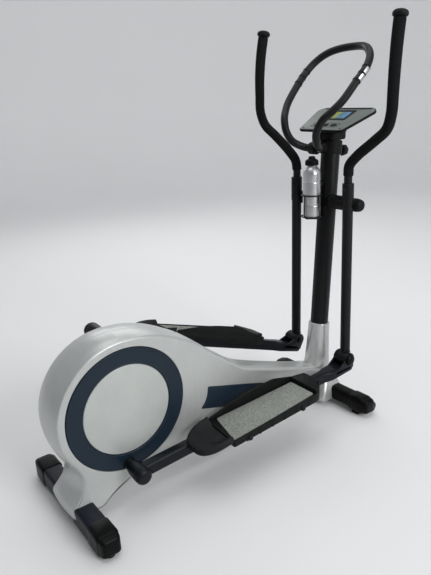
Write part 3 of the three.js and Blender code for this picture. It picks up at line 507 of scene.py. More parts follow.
def filled(outline, holes, spacing):
    """Triangles that fill an outline round its holes: (points, faces), outline points first."""
    loops = [outline, *holes]
    points = [Vector(p[:2]) for loop in loops for p in loop]
    edges, start = [], 0
    for loop in loops:
        edges += [(start + k, start + (k + 1) % len(loop)) for k in range(len(loop))]
        start += len(loop)
    xs, ys = [p[0] for p in outline], [p[1] for p in outline]
    x = min(xs) + spacing * 0.37
    while x < max(xs):
        y = min(ys) + spacing * 0.41
        while y < max(ys):
            p = Vector((x, y))
            if inside(p, outline) and not any(inside(p, h) for h in holes):
                if min((p - q).length for q in points[:start]) > spacing * 0.45:
                    points.append(p)
            y += spacing
        x += spacing
    out, _, faces, *_ = delaunay_2d_cdt(points, edges, [], 0, 1e-4)
    kept = []
    for face in faces:
        middle = sum((Vector(out[k]) for k in face), Vector((0, 0))) / len(face)
        if inside(middle, outline) and not any(inside(middle, h) for h in holes):
            kept.append(list(face))
    return [Vector(p) for p in out], kept


# ---- making pieces ------------------------------------------------------------------------
def piece(name, shape, material, body, replaces=(), sharp=35, clean=True):
    points, faces = shape
    mesh = bpy.data.meshes.new(name)
    mesh.from_pydata([((p[0] + CRANK_X) * MM, p[1] * MM, p[2] * MM) for p in points], [], faces)
    if clean:
        work = bmesh.new()
        work.from_mesh(mesh)
        bmesh.ops.remove_doubles(work, verts=work.verts, dist=1e-6)
        bmesh.ops.recalc_face_normals(work, faces=work.faces)
        work.to_mesh(mesh)
        work.free()
    mesh.polygons.foreach_set("use_smooth", [True] * len(mesh.polygons))
    mesh.set_sharp_from_angle(angle=math.radians(sharp))
    mesh.materials.append(MATERIAL[material])
    thing = bpy.data.objects.new(name, mesh)
    scene.collection.objects.link(thing)
    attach(thing, body)
    if replaces:
        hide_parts(*([replaces] if isinstance(replaces, str) else replaces))
    return thing


def both(name, right, material, body, replaces=None, turn_right=None, turn_left=None):
    """A right-hand piece and its mirror image; body and replaces get _right or _left."""
    for side, turn in (("right", turn_right), ("left", turn_left)):
        shape = moved(right, turn) if turn else right
        if side == "left":
            shape = mirrored(shape)
        rides = body if body in frame["bodies"] else f"{body}_{side}"
        stands = tuple(f"{r}_{side}" for r in (replaces or ()))
        piece(f"{name}_{side}", shape, material, rides, stands)


# ---- driving dimensions, the same as the CAD ----------------------------------------------
CRANK_Z, THROW, RING, WINDOW, FACE = 365, 206, 224, 165, 81.5
REAR_FOOT = {"x": -204, "z": 46, "radius": 30, "tube": 234, "seam": 188, "end": 289, "slim": 36, "wide": 39,
             "corner": 0.42}
FRONT_FOOT = {"x": 1037, "z": 50, "radius": 28, "tube": 230, "seam": 190, "end": 286, "slim": 33, "wide": 37,
              "corner": 0.72}
WHEEL = {"x": 1068, "y": 262, "z": 33, "radius": 25, "width": 20}
LEVELLER_Y = 258
MAST_X, MAST_Z, MAST_RADIUS, LEAN = 1009, 250, 38.5, math.radians(4.385)
PIVOT = Vector((1052, -142, 912))
ARM_X, ARM_Y, SOCKET_TOP = 1022, 144, 1002
JOINT = Vector((1012, -146, 245))
REST_SWING = 0.55
PIN_ANGLE = math.radians(5)
BAR_HALF, BAR_HEIGHT, JOINT_RISE, PIN_RISE = 20, 46, 41, 3
FORK_GAP, FORK_PLATE, FORK_RADIUS, FORK_LENGTH = 27, 6, 30, 100
PEDAL = {"inner": 108, "outer": 270, "rear": -717, "front": -216, "heel": 128, "lift": 30, "wall": 6}
CLAMP_X, CLAMP_Z = 978, 1134
BOTTLE_X, BOTTLE_RADIUS = 966, 36
CONSOLE_X, CONSOLE_Z, TILT = 1004, 1204, math.radians(22.3)


def mast_x(z):
    return MAST_X + (z - MAST_Z) * math.tan(LEAN)


def on_mast(z):
    """Puts a shape drawn upright about X = 0 onto the leaning mast, keeping its height z."""
    def turn(p):
        x, h = p[0], p[2] - z
        return Vector((mast_x(z) + x * math.cos(LEAN) + h * math.sin(LEAN), p[1],
                       z + h * math.cos(LEAN) - x * math.sin(LEAN)))
    return turn


def interpolate(table, t):
    if t <= table[0][0]:
        return table[0][1]
    for (a, u), (b, v) in zip(table, table[1:]):
        if t <= b:
            s = (t - a) / (b - a)
            return u + (v - u) * s
    return table[-1][1]


def smooth(low, high, t):
    s = min(1, max(0, (t - low) / (high - low)))
    return s * s * (3 - 2 * s)


# ---- housing ------------------------------------------------------------------------------
DRUM = 263
BEAM_TOP = [
    (3, 629), (80, 620), (160, 594), (240, 554), (310, 511), (370, 461), (450, 396), (530, 338),
    (620, 299), (735, 257), (850, 216), (960, 182), (1012, 160), (1056, 124), (1080, 84),
]
UNDERSIDE = [
    (1083, 50), (1070, 26), (1045, 22), (1012, 24), (985, 38), (962, 61), (935, 66), (820, 66),
    (600, 66), (370, 66), (240, 76), (120, 89), (20, 95), (-16, 88), (-58, 76), (-92, 62),
    (-116, 48), (-134, 38), (-160, 38), (-225, 38), (-243, 39), (-250, 49), (-250, 64),
    (-243, 82), (-227, 102), (-212, 124), (-203, 150), (-202, 176), (-209, 200),
]
HALF_WIDTH = [
    (150, 81.5), (210, 80.6), (260, 79.6), (310, 78), (370, 75), (450, 68), (530, 59.5), (620, 53),
    (735, 49.8), (850, 49.2), (960, 50), (1012, 51), (1056, 48), (1084, 42),
]
BOOT_FLARE = [(38, 17.5), (50, 15.5), (62, 13.5), (76, 10), (88, 6.5), (120, 1.5), (150, 0)]


def housing_width(x, z):
    flare = interpolate(BOOT_FLARE, z) * (1 - smooth(-70, 40, x))
    return interpolate(HALF_WIDTH, x) + flare


def on_flank(outline, rise=0):
    """An outline laid on the outer face of the housing, or raised from it."""
    return [Vector((p.x, -housing_width(p.x, p.y) - rise, p.y)) for p in outline]


def housing_outline():
    arc = [(DRUM * math.cos(a), CRANK_Z + DRUM * math.sin(a))
           for a in (math.radians(d) for d in range(214, 90, -6))]
    knots = [(x, 0, z) for x, z in [*BEAM_TOP, *UNDERSIDE, *arc]]
    knots.append(knots[0])
    return [Vector((p.x, p.z)) for p in path_points(knots, 620)[:-1]]


def front_boot():
    """Flared boot over the front foot, right half: Z, rear X, front X, half width."""
    table = [(22, 952, 1078, 90), (24, 946, 1083, 95), (42, 944, 1084, 95), (60, 950, 1081, 93),
             (78, 958, 1076, 88), (98, 968, 1068, 80), (116, 978, 1058, 71), (134, 988, 1046, 61),
             (152, 996, 1034, 46)]
    rings = []
    for z, rear, front, half in path_points([Vector(row) for row in table], 30):
        ring = rounded([(rear, -0.2), (rear, -half), (front, -half), (front, -0.2)], [0.1, 26, 26, 0.1], 8)
        rings.append(at_height(ring, z))
    return skin(rings)


def rim_of(x, z):
    """Barrel of the rim from the centre plane to the flank, and the radius of its edge."""
    drum = (1 - smooth(0, 230, x)) * smooth(90, 170, z)
    boot = (1 - smooth(-150, -60, x)) * (1 - drum)
    return 1.5 + 9 * drum + 5 * boot, 13 - 6.5 * drum - 5 * boot


def housing_half():
    outline = housing_outline()
    window = [Vector(p) for p in around(0, CRANK_Z, RING + 2.5, 120)]
    inward = shrunk(outline, 1.0)
    sizes = [rim_of(p.x, p.y) for p in outline]
    rows = []
    for inset, y in ((0.4, 0.0), (0.1, 0.2)):
        rows.append([Vector((p.x, -y, p.y)) for p in shrunk(outline, inset)])
    for share in (0.008, 0.15, 0.3, 0.45, 0.6, 0.74, 0.87, 1.0):
        ring = []
        for p, q, (barrel, edge) in zip(outline, inward, sizes):
            at = p + (q - p) * barrel * share ** 2.2
            ring.append(Vector((at.x, -(housing_width(p.x, p.y) - edge) * share, at.y)))
        rows.append(ring)
    for angle in (0.35, 0.7, 1.05, 1.32, math.pi / 2):
        ring = []
        for p, q, (barrel, edge) in zip(outline, inward, sizes):
            at = p + (q - p) * (barrel + edge * (1 - math.cos(angle)))
            ring.append(Vector((at.x, -housing_width(p.x, p.y) + edge * (1 - math.sin(angle)), at.y)))
        rows.append(ring)
    shell = skin(rows, caps=False)
    inner = [Vector((p.x, p.z)) for p in rows[-1]]
    points, faces = filled(inner, [window], 26)
    face = (on_flank(points), faces)
    lip = skin([on_flank(window),
                [Vector((p.x * 0.997, -housing_width(p.x, p.y) + 1.2, CRANK_Z + (p.y - CRANK_Z) * 0.997))
                 for p in window],
                [Vector((p.x * 0.997, -60, CRANK_Z + (p.y - CRANK_Z) * 0.997)) for p in window]], caps=False)
    return joined(shell, face, lip, front_boot())


both("shell", housing_half(), "silver", "chassis", ("housing",))


def flank_panel():
    """Navy panel that follows the flank of the beam, with a soft raised rim."""
    start = [(338, 326), (450, 288), (560, 250), (640, 221), (676, 201), (700, 182), (697, 166),
             (690, 150), (625, 153), (560, 158), (430, 202), (300, 246), (322, 268), (334, 294)]
    outline = rounded(start, [9, 20, 20, 20, 10, 7, 5, 7, 20, 20, 40, 7, 10, 10])
    rows = [(0.0, -1.0), (0.0, 1.2), (0.9, 2.1), (2.4, 2.5)]
    rings = [on_flank(shrunk(outline, inset), rise) for inset, rise in rows]
    inner = [Vector((p.x, p.z)) for p in rings[-1]]
    points, faces = filled(inner, [], 22)
    face = (on_flank(points, rows[-1][1]), faces)
    return joined(skin(rings, caps=False), face)


both("flank_panel", flank_panel(), "navy", "chassis", ("side_panel",))


# ---- crank --------------------------------------------------------------------------------
def crank_ring():
    return turned([
        [WINDOW + 0.5, -62], [WINDOW + 0.5, -83.4], [WINDOW + 3.2, -84.6], [WINDOW + 6.2, -83.4],
        [RING - 7, -83.2], [RING - 4.2, -84.3], [RING - 0.6, -83.6], [RING, -80], [RING, -62],
    ], (0, 0, CRANK_Z), sides=160, radius=1.0)


def crank_dome():
    line = [[0, -FACE - 6]]
    for k in range(1, 25):
        r = (WINDOW - 3) * k / 24
        line.append([r, -FACE - 6 * (1 - (r / WINDOW) ** 2)])
    line += [[WINDOW - 0.8, -FACE + 2], [WINDOW - 0.8, -64]]
    return turned(line, (0, 0, CRANK_Z), sides=160, radius=0.8)


def crank_pin():
    x, z = -THROW * math.sin(PIN_ANGLE), CRANK_Z - THROW * math.cos(PIN_ANGLE)
    return turned([[0, -105], [14, -105], [19, -102], [20, -94], [22, -87], [22, -83]], (x, 0, z), radius=2)


both("ring", crank_ring(), "navy", "crank", ("crank_ring",))
both("dome", crank_dome(), "dome", "crank", ("crank_dome",))
piece("pin_boss_right", crank_pin(), "black_steel", "crank", "crank_pin_right")


def half_turn(p):
    return Vector((-p[0], p[1], 2 * CRANK_Z - p[2]))


piece("pin_boss_left", moved(mirrored(crank_pin()), half_turn), "black_steel", "crank",
      "crank_pin_left")


# ---- feet ---------------------------------------------------------------------------------
def foot_tube(foot):
    return turned([[foot["radius"] - 2, -foot["tube"]], [foot["radius"], -foot["tube"] + 2],
                   [foot["radius"], foot["tube"] - 2], [foot["radius"] - 2, foot["tube"]]],
                  (foot["x"], 0, foot["z"]))


def foot_rings(foot, rows):
    """Rounded square sections along a foot, flat at the sole; each row is [|Y|, half side]."""
    rings = []
    for y, half in rows:
        ring = rectangle(-half, half, -half, half, half * foot["corner"], 8)
        rings.append([Vector((foot["x"] + p.x, -y, max(9, foot["z"] + p.y))) for p in ring])
    return skin(rings)


def foot_cap(foot):
    end, seam, wide = foot["end"], foot["seam"], foot["wide"]
    share = [(0, 0.5), (0.6, 0.62), (2.5, 0.72), (6, 0.80), (12, 0.87), (20, 0.91), (23, 0.915), (26, 0.945),
             (29, 0.98), (35, 1)]
    rows = [(end - t, wide * k) for t, k in share]
    return foot_rings(foot, [*rows, (seam + 3, wide), (seam + 1, wide - 0.6), (seam, wide - 2.2), (seam, 12)])


def foot_sleeve(foot):
    seam, slim = foot["seam"], foot["slim"]
    return foot_rings(foot, [(seam + 6, slim), (seam - 60, slim), (seam - 100, slim), (70, slim)])


piece("rear_tube", foot_tube(REAR_FOOT), "black_steel", "chassis", "rear_stabilizer")
piece("front_tube", foot_tube(FRONT_FOOT), "black_steel", "chassis", "front_stabilizer")
both("rear_cap", foot_cap(REAR_FOOT), "gloss_black", "chassis", ("rear_foot_cap",))
# the sleeves carry painted shade: their navy is darkened against the top light
both("rear_sleeve", foot_sleeve(REAR_FOOT), "sleeve_navy_painted_shade", "chassis", None)
both("front_sleeve", foot_sleeve(FRONT_FOOT), "gloss_black", "chassis", None)


def front_cap():
    x, y, z = WHEEL["x"], -WHEEL["y"], WHEEL["z"]
    half = WHEEL["width"] / 2
    ear = rounded([(x - 40, z - 14), (x + 5, z - 14), (x + 12, z + 2), (x + 4, z + 14), (x - 40, z + 14)], 6)
    ears = [slab(ear, middle - 2.5, middle + 2.5, 1, "xz") for middle in (y - half - 4.5, y + half + 4.5)]
    pad = block(FRONT_FOOT["x"] - 22, FRONT_FOOT["x"] + 10, -236, -200, 0, 24, 6, 1.5)
    return joined(foot_cap(FRONT_FOOT), *ears, pad)


both("front_cap", front_cap(), "gloss_black", "chassis", ("front_foot_cap",))


def roller():
    y, half, r = -WHEEL["y"], WHEEL["width"] / 2, WHEEL["radius"]
    tyre = turned([[7, y - half + 4], [r - 8, y - half + 4], [r - 5, y - half], [r - 2, y - half],
                   [r, y - half + 3], [r, y + half - 3], [r - 2, y + half], [r - 5, y + half],
                   [r - 8, y + half - 4], [7, y + half - 4]], (WHEEL["x"], 0, WHEEL["z"]))
    axle = turned([[0, y - half - 8], [5.5, y - half - 7.5], [6.5, y - half - 4], [4, y - half - 4],
                   [4, y + half + 4], [6.5, y + half + 4], [5.5, y + half + 7.5], [0, y + half + 8]],
                  (WHEEL["x"], 0, WHEEL["z"]), sides=32, radius=0.6)
    return joined(tyre, axle)


both("roller", roller(), "wheel", "wheel", ("transport_wheel",))


def level_foot():
    pad = turned([[0, 0], [16, 0], [19, 2.5], [19, 6], [17, 8.7], [0, 8.7]],
                 (REAR_FOOT["x"], -LEVELLER_Y, 0), "z", 48, 1)
    knurl = [turned([[0, 1.5], [1.1, 2.2], [1.1, 6.4], [0, 7.2]], (x, y, 0), "z", 8, 0.2)
             for x, y in around(REAR_FOOT["x"], -LEVELLER_Y, 18.6, 24)]
    stud = turned([[5, 6], [5, 34], [0, 34]], (REAR_FOOT["x"], -LEVELLER_Y, 0), "z", 24, 0.4)
    return joined(pad, stud, *knurl)


both("level_foot", level_foot(), "black_plastic", "foot", ("leveller",))


# ---- mast ---------------------------------------------------------------------------------
def mast_shape():
    tube = turned([[MAST_RADIUS, 150], [MAST_RADIUS, 1179], [36, 1180]], (0, 0, 0), "z", radius=1)
    cross = turned([[29, -106], [29, 106]], (PIVOT.x, 0, PIVOT.z))
    flanges = [turned([[29, s * 105.5], [31, s * 106], [31, s * 114], [22, s * 114]],
                      (PIVOT.x, 0, PIVOT.z), radius=0.8) for s in (-1, 1)]
    weld = [turned([[29, -5.5], [31.2, -2.5], [31.8, 0], [31.2, 2.5], [29, 5.5]],
                   (PIVOT.x, s * 39, PIVOT.z), sides=48, radius=1.5) for s in (-1, 1)]
    return joined(moved(tube, on_mast(MAST_Z)), cross, *flanges, *weld)


piece("mast", mast_shape(), "black_steel", "chassis", "mast_tube")
piece("sleeve", moved(turned([
    [39, 150], [50.4, 150], [50.4, 226], [49.6, 262], [47.6, 320], [46, 360], [45.4, 368], [43.6, 372],
    [39, 372],
], (0, 0, 0), "z", 96, 1.5), on_mast(MAST_Z)), "sleeve", "chassis", "mast_sleeve")


def collar_shape():
    """Silver skirt that flows from the sleeve onto the top of the beam."""
    rows = [(48.4, 300, 0), (49.9, 270, 0), (51.2, 244, 0), (53, 222, 0), (56, 206, 0.1), (61, 193, 0.3),
            (68, 182, 0.6), (77, 172, 0.9), (88, 164, 1)]
    rings = []
    for r, height, blend in rows:
        ring = []
        for a in angles(96):
            x = mast_x(height) + r * math.cos(a)
            y = r * math.sin(a) * (1 - 0.44 * blend)
            z = height * (1 - blend) + (interpolate(BEAM_TOP, x) - 4) * blend
            ring.append(Vector((x, y, z)))
        rings.append(ring)
    return skin(rings, caps=False)


piece("collar", collar_shape(), "sleeve", "chassis", ())


def axle_heads():
    end = 167.6
    line = [[9, -end + 14], [25, -end + 0.4], [25, -end - 9], [24, -end - 14], [21, -end - 20],
            [14, -end - 24.5], [0, -end - 26]]
    rim = turned([[25, -end - 1.5], [26.2, -end - 2.5], [26.2, -end - 5.5], [25, -end - 6.5]],
                 (PIVOT.x, 0, PIVOT.z), radius=0.5)
    head = turned(line, (PIVOT.x, 0, PIVOT.z), radius=4)
    rod = turned([[10, -160], [10, 160]], (PIVOT.x, 0, PIVOT.z), sides=32)
    return joined(head, rim, mirrored(head), mirrored(rim), rod)


piece("pivot_heads", axle_heads(), "black_plastic", "chassis", "pivot_axle")


# ---- swing arms ---------------------------------------------------------------------------
def swing(degrees):
    a = math.radians(degrees)

    def turn(p):
        dx, dz = p[0] - PIVOT.x, p[2] - PIVOT.z
        return Vector((PIVOT.x + dx * math.cos(a) - dz * math.sin(a), p[1],
                       PIVOT.z + dx * math.sin(a) + dz * math.cos(a)))
    return turn


def arm_pair(name, right, material, replaces):
    both(name, right, material, "arm", replaces, swing(REST_SWING), swing(-REST_SWING))


def arm_shape():
    tube = turned([[21, JOINT.z + 10], [21, SOCKET_TOP - 100]], (ARM_X, -ARM_Y, 0), "z")
    socket = turned([[21, SOCKET_TOP - 104], [23, SOCKET_TOP - 98], [23, SOCKET_TOP - 2],
                     [21.5, SOCKET_TOP], [16.5, SOCKET_TOP]], (ARM_X, -ARM_Y, 0), "z", radius=1)
    pivot = turned([[12, -167], [25.5, -167], [27, -165.5], [27, -118.5], [25.5, -117], [12, -117]],
                   (PIVOT.x, 0, PIVOT.z), radius=0.8)
    foot = turned([[8, -172], [28, -172], [30, -170], [30, -122], [28, -120], [8, -120]],
                  (JOINT.x, 0, JOINT.z), radius=0.8)
    weld = swept([Vector((ARM_X + 21.4 * math.cos(t), -ARM_Y + 21.4 * math.sin(t),
                          JOINT.z + 27 - 3 * math.cos(2 * t))) for t in angles(48)], 2.2, 10, closed=True)
    bolt = turned([[0, 26.4], [5.5, 26], [6.5, 24], [6.5, 22.4]], (0, 0, 0), "z", 20, 0.6)
    heads = [moved(bolt, lambda p, z=z: Vector((ARM_X - p[2], -ARM_Y + p[1], z + p[0])))
             for z in (SOCKET_TOP - 26, SOCKET_TOP - 74)]
    return joined(tube, socket, pivot, foot, weld, *heads)


HANDLE = path_points([
    (ARM_X, -ARM_Y, SOCKET_TOP - 86), (ARM_X, -ARM_Y, SOCKET_TOP + 40), (ARM_X - 2, -150, 1072),
    (ARM_X - 4, -190, 1112), (ARM_X - 6, -270, 1170), (ARM_X - 14, -328, 1215), (ARM_X - 21, -350, 1270),
    (ARM_X - 21, -353, 1340), (ARM_X - 19, -354, 1415), (ARM_X - 11, -353, 1500), (ARM_X + 5, -350, 1594),
], 160)

arm_pair("arm", arm_shape(), "black_steel", ("arm_lower",))
arm_pair("handle", swept(HANDLE, 16), "black_steel", ("handlebar",))
GRIP = part_of(HANDLE, 0.15, 0.975, 150)
GRIP_RADIUS = [19.8 + 1.8 * smooth(75, 149, k) for k in range(150)]
arm_pair("foam_grip", swept(GRIP, GRIP_RADIUS, 32, 2.2), "foam", ("grip",))


def knob_cap():
    tip = part_of(HANDLE, 0.975, 1, 2)
    tip = tip[0].lerp(tip[1], 0.12)
    along = (HANDLE[-1] - HANDLE[-2]).normalized()
    cap = turned([[15, 0], [22, 0], [26, 3], [27.5, 8], [27, 13], [24.5, 18], [18, 22], [9, 24.4], [0, 25]],
                 (0, 0, 0), "z", radius=2)
    turn = Vector((0, 0, 1)).rotation_difference(along).to_matrix()
    return moved(cap, lambda p: turn @ p + tip)


arm_pair("knob_cap", knob_cap(), "black_plastic", ("grip_cap",))


# ---- pedal bars: drawn level, Z = 0 on the tube, X = 0 below the front joint --------------
RIGHT_PIN = Vector((-THROW * math.sin(PIN_ANGLE), 0, CRANK_Z - THROW * math.cos(PIN_ANGLE)))
LEFT_PIN = Vector((-RIGHT_PIN.x, 0, 2 * CRANK_Z - RIGHT_PIN.z))
RIGHT_JOINT, LEFT_JOINT = swing(REST_SWING)(JOINT), swing(-REST_SWING)(JOINT)
BAR_RISE = JOINT_RISE - PIN_RISE
BAR_REACH = math.sqrt((RIGHT_JOINT.x - RIGHT_PIN.x) ** 2 + (RIGHT_JOINT.z - RIGHT_PIN.z) ** 2 - BAR_RISE ** 2)


def lay(joint, pin):
    slope = math.atan2(joint.z - pin.z, joint.x - pin.x) - math.atan2(BAR_RISE, BAR_REACH)

    def turn(p):
        x, z = p[0], p[2] - JOINT_RISE
        return Vector((joint.x + x * math.cos(slope) - z * math.sin(slope), p[1],
                       joint.z + x * math.sin(slope) + z * math.cos(slope)))
    return turn


def bar_pair(name, right, material, replaces):
    both(name, right, material, "bar", replaces, lay(RIGHT_JOINT, RIGHT_PIN), lay(LEFT_JOINT, LEFT_PIN))


def bar_section(x, wide, tall, corner):
    ring = rectangle(-wide, wide, -tall / 2, tall / 2, corner, 6)
    return [Vector((x, JOINT.y + p.x, p.y)) for p in ring]


def bar_shape():
    rows = [*[(x, BAR_HALF, BAR_HEIGHT) for x in (-BAR_REACH + 8, -600, -200, -160)], (-146, 20.8, 45.6),
            (-132, 23.5, 45), (-118, 28, 44), (-106, 31.8, 43), (-94, 33, 42), (-40, 33, 38), (8, 33, 35),
            (17, 32, 33), (22, 29.5, 29), (24, 26, 24)]
    tube = skin([bar_section(x, wide, tall, 11) for x, wide, tall in rows])
    barrel = turned([[0, -198], [14, -197.5], [22, -195], [27.5, -190], [30, -183], [30, -176],
                     [28.6, -174.5], [28.6, -172.5], [30, -171], [30, -166], [27.5, -122], [24, -119],
                     [24, -107], [23, -106], [0, -106]], (-BAR_REACH, 0, PIN_RISE), radius=2)
    outline = [(-FORK_LENGTH + 16, 6), (-62, 20), (-FORK_RADIUS + 1, JOINT_RISE + 2)]
    outline += [(FORK_RADIUS * math.cos(a), JOINT_RISE + FORK_RADIUS * math.sin(a))
                for a in (math.radians(d) for d in range(165, -16, -15))]
    outline += [(24, 4), (24, -2), (-FORK_LENGTH + 16, -2)]
    outline = [Vector(p) for p in outline]
    plates = []
    for side in (-1, 1):
        middle = JOINT.y + side * (FORK_GAP + FORK_PLATE / 2)
        plates.append(slab(outline, middle - FORK_PLATE / 2, middle + FORK_PLATE / 2, 1.2, "xz"))
    return joined(tube, barrel, *plates)


bar_pair("pedal_bar_body", bar_shape(), "bar_black", ("pedal_bar",))


def joint_bolt():
    face = FORK_GAP + FORK_PLATE + 0.3
    out, inn = JOINT.y - face, JOINT.y + face
    head = turned([[8, out + 0.4], [24, out], [24, out - 4], [22.5, out - 8], [18, out - 11.5],
                   [9, out - 13.6], [0, out - 14]], (0, 0, JOINT_RISE), radius=2)
    nut = turned([[8, inn], [12, inn], [12, inn + 4.6], [10, inn + 6], [0, inn + 6]], (0, 0, JOINT_RISE),
                 sides=6, radius=0.5)
    rod = turned([[7, out], [7, inn]], (0, 0, JOINT_RISE), sides=32)
    return joined(head, nut, rod)


bar_pair("joint_cap", joint_bolt(), "gloss_black", ("joint_bolt",))


# ---- pedals -------------------------------------------------------------------------------
INNER, OUTER, REAR, FRONT = PEDAL["inner"], PEDAL["outer"], PEDAL["rear"], PEDAL["front"]
LIFT, TOE = PEDAL["lift"], 70


def pedal_outline(inset):
    toe = FRONT - inset
    return rounded([
        (REAR + inset, -OUTER + inset), (toe - TOE, -OUTER + inset), (toe, -OUTER + 62 + inset),
        (toe, -INNER - 16 - inset), (toe - 60, -INNER - inset), (REAR + inset, -INNER - inset),
    ], [8, 22, 16, 10, 22, 8], 8)


def sagged(shape):
    """Lowers the outer rear corner of a pedal part a little."""
    def turn(p):
        back = min(1, max(0, (FRONT - 81 - p[0]) / 411))
        out = min(1, max(0, (-INNER - p[1]) / (OUTER - INNER)))
        return Vector((p[0], p[1], p[2] - 12 * back * out))
    return moved(shape, turn)


def tray_shape():
    low, top = LIFT - 27, LIFT + 9
    rows = [(2.5, low), (0.8, low + 1), (0, low + 4), (0, top - 3), (0.8, top - 0.8), (2.6, top),
            (5.2, top), (6.6, top - 1), (7.2, top - 3), (7.4, LIFT - 1)]
    rings = []
    for inset, z in rows:
        lift = 9 if z < LIFT - 10 else 0
        rings.append([Vector((p.x, p.y, z + lift * smooth(REAR + 70, REAR, p.x)))
                      for p in shrunk(pedal_outline(0), inset)])
    body = skin(rings)
    stop = FRONT - TOE - 7
    wall_line = rounded([
        (REAR + 8, LIFT - 4), (FRONT - 40, LIFT - 4), (FRONT - 32, LIFT + 8), (REAR + 330, LIFT + 50),
        (REAR + 190, LIFT + 46), (REAR + 98, LIFT + 34), (REAR + 30, LIFT + 20), (REAR + 8, LIFT + 17),
    ], [3, 4, 5, 18, 40, 32, 14, 4], 6)
    wall = slab(wall_line, -INNER - 8, -INNER - 0.5, 2.2, "xz")
    toe_line = rounded([
        (stop, -OUTER + 10), (stop + 14, -OUTER + 10), (FRONT - 10, -OUTER + 70),
        (FRONT - 10, -INNER - 22), (FRONT - 62, -INNER - 6), (stop, -INNER - 6),
    ], [4, 6, 14, 10, 8, 4])
    toe = slab(toe_line, LIFT - 4, LIFT + 22, 4)
    ribs = [slab(rectangle(x, x + 5, LIFT - 22, LIFT + 5, 1), -OUTER - 1.2, -OUTER + 3, 1, "xz")
            for x in range(REAR + 60, FRONT - TOE - 20, 62)]
    return joined(body, wall, toe, *ribs)


def tray_bolts():
    """Round bolt heads low on the outer face of the tray."""
    return joined(*[
        turned([[0, -OUTER - 8.5], [6, -OUTER - 7.8], [9.5, -OUTER - 5], [11, -OUTER - 1], [11, -OUTER + 2]],
               (x, 0, z), sides=32, radius=1.2)
        for x, z in ((REAR + 75, LIFT - 13), (FRONT - 158, LIFT - 19))])


def tread_shape():
    toe = FRONT - 81
    corners = [(REAR + 9, -OUTER + 4), (toe, -OUTER + 18), (toe, -INNER - 16), (REAR + 37, -INNER - 10)]
    outline = rounded(corners, 9, 6)
    rows = [(0, LIFT - 0.5), (0, LIFT + 3.4), (0.6, LIFT + 4.4), (1.8, LIFT + 5)]
    mat = skin([at_height(shrunk(outline, inset), z) for inset, z in rows])
    field = [tuple(p) for p in shrunk(outline, 12)]
    studs = []
    for i in range(33):
        for j in range(11):
            x, y = REAR + 20 + i * 12.4, -OUTER + 14 + j * 14.4
            if not inside((x, y), field):
                continue
            bar = rectangle(x - 3.6, x + 3.6, y - 1.4, y + 1.4, 1.2, 2)
            if (i + j) % 2:
                bar = [Vector((x + (p.y - y), y + (p.x - x))) for p in bar][::-1]
            studs.append(skin([at_height(shrunk(bar, inset), z) for inset, z in
                               ((0, LIFT + 4.6), (0.1, LIFT + 5.5), (0.6, LIFT + 5.9))]))
    return joined(mat, *studs)


def heel_shape():
    """Scooped heel: an outer skirt, a rolled rim and a dished floor."""
    back, middle = REAR - PEDAL["heel"], -(INNER + OUTER) / 2
    half = (OUTER - INNER) / 2

    def edge(s):
        """Outline from the inner front corner round the back to the outer front corner."""
        a = math.pi * s
        x = REAR - PEDAL["heel"] * math.sin(a) ** 0.82
        y = middle + half * (1 if a < math.pi / 2 else -1) * abs(math.cos(a)) ** 0.72
        return x, y

    def height(x):
        line = [(back, LIFT + 5), (back + 30, LIFT + 11), (REAR - 36, LIFT + 22), (REAR, LIFT + 26)]
        return interpolate(line, x)

    def floor(x, inward):
        dish = LIFT + 1 + 9 * smooth(REAR - 30, back, x)
        return dish + (height(x) - dish) * (1 - smooth(0.05, 0.62, inward)) ** 1.4

    steps = 64
    rims = []
    for inset, drop in ((0.10, -26), (0.03, -24), (0.0, -18), (0.0, -5), (0.015, -1.5), (0.04, 0)):
        ring = []
        for k in range(steps + 1):
            x, y = edge(k / steps)
            x, y = x + (REAR - x) * inset, y + (middle - y) * inset
            low = max(LIFT - 20, height(x) + drop) if drop < -4 else height(x) + drop
            ring.append(Vector((x, y, low)))
        rims.append(ring)
    for share in (0.07, 0.12, 0.2, 0.3, 0.42, 0.55, 0.7, 0.85, 0.99):
        ring = []
        for k in range(steps + 1):
            x, y = edge(k / steps)
            x, y = x + (REAR - x) * share * 0.6, y + (middle - y) * share
            ring.append(Vector((x, y, floor(x, share))))
        rims.append(ring)
    points = [p for ring in rims for p in ring]
    wide = steps + 1
    faces = [[r * wide + k, r * wide + k + 1, (r + 1) * wide + k + 1, (r + 1) * wide + k]
             for r in range(len(rims) - 1) for k in range(steps)]
    front = [r * wide for r in range(len(rims))] + [r * wide + steps for r in reversed(range(len(rims)))]
    bottom = list(range(wide))
    return points, [*faces, front, bottom]


bar_pair("tray", sagged(tray_shape()), "black_plastic", ("pedal_tray",))
bar_pair("tray_bolts", sagged(tray_bolts()), "black_steel", None)
bar_pair("tread_mat", sagged(tread_shape()), "tread", ("pedal_tread",))
bar_pair("heel", sagged(heel_shape()), "dark_grey", ("heel_scoop",))


# ---- console: drawn level, X = 0 at its lower edge, Z = 0 on its face ---------------------
def on_console(p):
    x, z = p[0], p[2]
    return Vector((CONSOLE_X + x * math.cos(TILT) - z * math.sin(TILT), p[1],
                   CONSOLE_Z + x * math.sin(TILT) + z * math.cos(TILT)))


def console_outline(inset):
    return rounded([
        (inset, -114 + inset), (174 - inset, -155 + inset), (196 - inset, -129 + inset),
        (196 - inset, 129 - inset), (174 - inset, 155 - inset), (inset, 114 - inset),
    ], [14, 16, 14, 14, 16, 14], 6)


def console_piece(name, shape, material, replaces=()):
    piece(name, moved(shape, on_console), material, "chassis", replaces)


def band(outer, inner, low, high, edge=0.6):
    """Flat frame between two outlines with the same number of points."""
    rows = [(outer, 0, low), (outer, 0, high - edge), (outer, edge, high), (inner, -edge, high),
            (inner, 0, high - edge), (inner, 0, low)]
    return skin([at_height(shrunk(line, inset), z) for line, inset, z in rows], closed=True)


